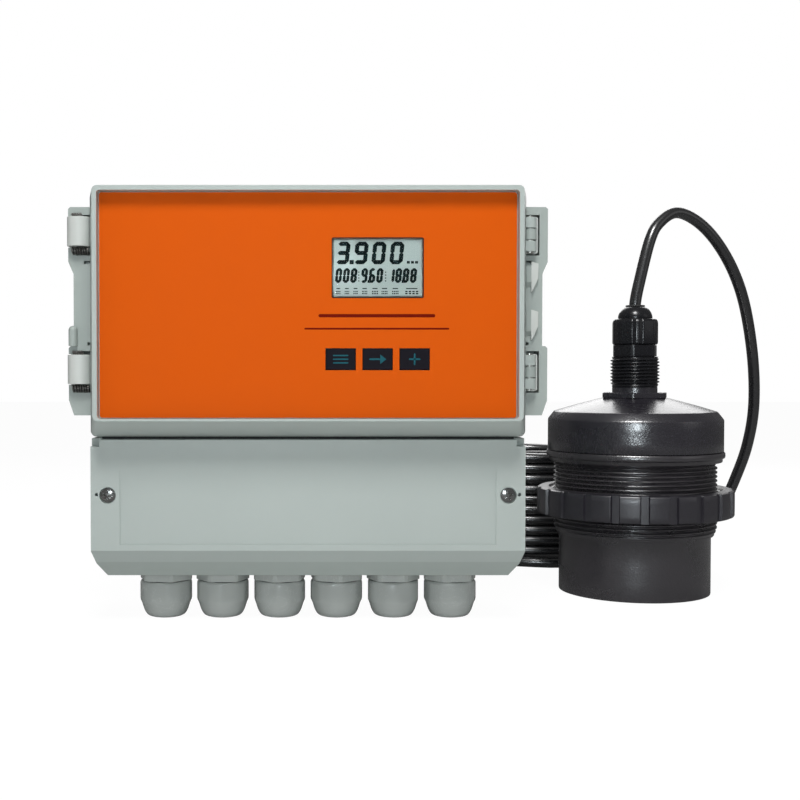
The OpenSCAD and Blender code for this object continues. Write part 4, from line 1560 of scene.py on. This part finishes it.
@dataclass(frozen=True)
class Lamp:
    """A round soft lamp that looks at a point."""

    name: str
    place: tuple[float, float, float]
    aim: tuple[float, float, float]
    size: float
    power: float
    tint: Colour = (1.0, 1.0, 1.0)

    def build(self) -> None:
        """Places the lamp and turns its axis to the point."""
        data = bpy.data.lights.new(self.name, "AREA")
        data.energy = self.power
        data.color = self.tint
        data.shape = "DISK"
        data.size = self.size * MM
        obj = bpy.data.objects.new(self.name, data)
        x, y, z = np.array(self.aim, float) - np.array(self.place, float)
        obj.location = [c * MM for c in self.place]
        tilt, turn = math.atan2(math.hypot(x, y), -z), math.atan2(y, x) - math.pi / 2
        obj.rotation_euler = (tilt, 0, turn)
        bpy.context.scene.collection.objects.link(obj)


@dataclass
class Studio:
    """Floor, soft lights and the camera of the photograph."""

    focal_px: float = 1200.0
    picture_px: float = 800.0
    sensor: float = 36.0
    camera: tuple[float, float, float] = (-59.8, -635.0, 122.5)
    shift: float = 0.115
    pitch: float = -1.43
    paper_glow: float = 0.93
    dim: float = 0.09
    gloss: float = 0.07
    floor_half: float = 4000.0
    paper: tuple[float, float] = (0.88, 0.16)
    glow: float = 1.04
    lamps: tuple[Lamp, ...] = (
        Lamp("top", (-60, -600, 900), (0, 20, 100), 320, 7.4),
        Lamp("left", (-900, -500, 400), (0, 0, 100), 500, 0.5),
        Lamp("right", (900, -400, 400), (0, 0, 100), 500, 0.22),
        Lamp("front", (-110, -950, 190), (60, 20, 100), 170, 1.9, (0.86, 0.95, 1.0)),
        Lamp("back", (220, 700, 590), (115, 30, 110), 760, 4.0),
    )

    def build(self) -> None:
        """Places everything that isn't the object."""
        self._camera()
        self._floor()
        for lamp in self.lamps:
            lamp.build()
        self._world()
        bpy.context.scene.view_settings.view_transform = "Standard"

    def _camera(self) -> None:
        """A lens of the photograph's perspective, straight before the transmitter.

        The photograph puts the transmitter left of its middle, so the lens is shifted.
        """
        data = bpy.data.cameras.new("camera")
        data.sensor_width = self.sensor
        data.lens = self.sensor * self.focal_px / self.picture_px
        data.shift_x = self.shift
        data.clip_end = 20.0
        obj = bpy.data.objects.new("camera", data)
        obj.location = [c * MM for c in self.camera]
        obj.rotation_euler = (math.radians(90 + self.pitch), 0, 0)
        bpy.context.scene.collection.objects.link(obj)
        bpy.context.scene.camera = obj

    def _floor(self) -> None:
        """A pale floor that the camera and reflections see as white paper."""
        t = np.linspace(-self.floor_half, self.floor_half, 3)
        x, y = np.meshgrid(t, t, indexing="ij")
        mesh = bpy.data.meshes.new("floor")
        points = np.stack([x, y, 0 * x], -1).reshape(-1, 3) * MM
        mesh.from_pydata(points.tolist(), [], grid_faces(3, 3, False, False).tolist())
        obj = bpy.data.objects.new("floor", mesh)
        bpy.context.scene.collection.objects.link(obj)
        mesh.materials.append(self._paper())

    def _paper(self) -> bpy.types.Material:
        """Pale paper for the light, white for the camera and grey in reflections.

        Returns:
            The floor's material.
        """
        mat = bpy.data.materials.new("pale floor")
        mat.use_nodes = True
        kit, nodes = NodeKit(mat.node_tree), mat.node_tree.nodes
        shader = nodes["Principled BSDF"]
        plain, reflected = self.paper
        glossy = kit.add("LightPath").outputs["Is Glossy Ray"]
        tone = kit.add("MapRange", {"Value": glossy, "To Min": plain, "To Max": reflected})
        kit.fill(shader, {"Base Color": tone.outputs[0], "Roughness": 0.9})
        glow = kit.add("Emission", {"Strength": self.glow})
        share = kit.math("MULTIPLY", self._seen(kit), self.paper_glow)
        mix = kit.add("MixShader", {0: share, 1: shader.outputs[0], 2: glow.outputs[0]})
        kit.fill(nodes["Material Output"], {"Surface": mix.outputs[0]})
        return mat

    def _seen(self, kit: NodeKit) -> Socket:
        """How white a surface looks to a ray.

        Args:
            kit: adds the nodes.

        Returns:
            1 for rays from the camera and through glass, less in reflections, else 0.
        """
        path = kit.add("LightPath").outputs
        ahead = kit.math("MULTIPLY_ADD", path["Is Glossy Ray"], self.gloss, path["Is Camera Ray"])
        return kit.math("MAXIMUM", ahead, path["Is Transmission Ray"])

    def _world(self) -> None:
        """A world that is dim for the light and white for the camera."""
        world = bpy.data.worlds.new("studio")
        world.use_nodes = True
        bpy.context.scene.world = world
        kit = NodeKit(world.node_tree)
        seen = kit.add("MapRange", {"Value": self._seen(kit), "To Min": self.dim, "To Max": 1.0})
        background = world.node_tree.nodes["Background"]
        kit.fill(background, {"Strength": seen.outputs[0], "Color": (1, 1, 1, 1)})


def main() -> None:
    """Builds the sub-assemblies in order."""
    logging.basicConfig(level=logging.INFO, format="%(message)s")
    Studio().build()
    Cable().build()
    CaseShells().build()
    CaseTrim().build()
    FrontPanel().build()
    CoverScrews().build()
    CaseGlands().build()
    Probe().build()
    KeptNodes().build()
    BoardParts().build()


if __name__ == "__main__":
    main()
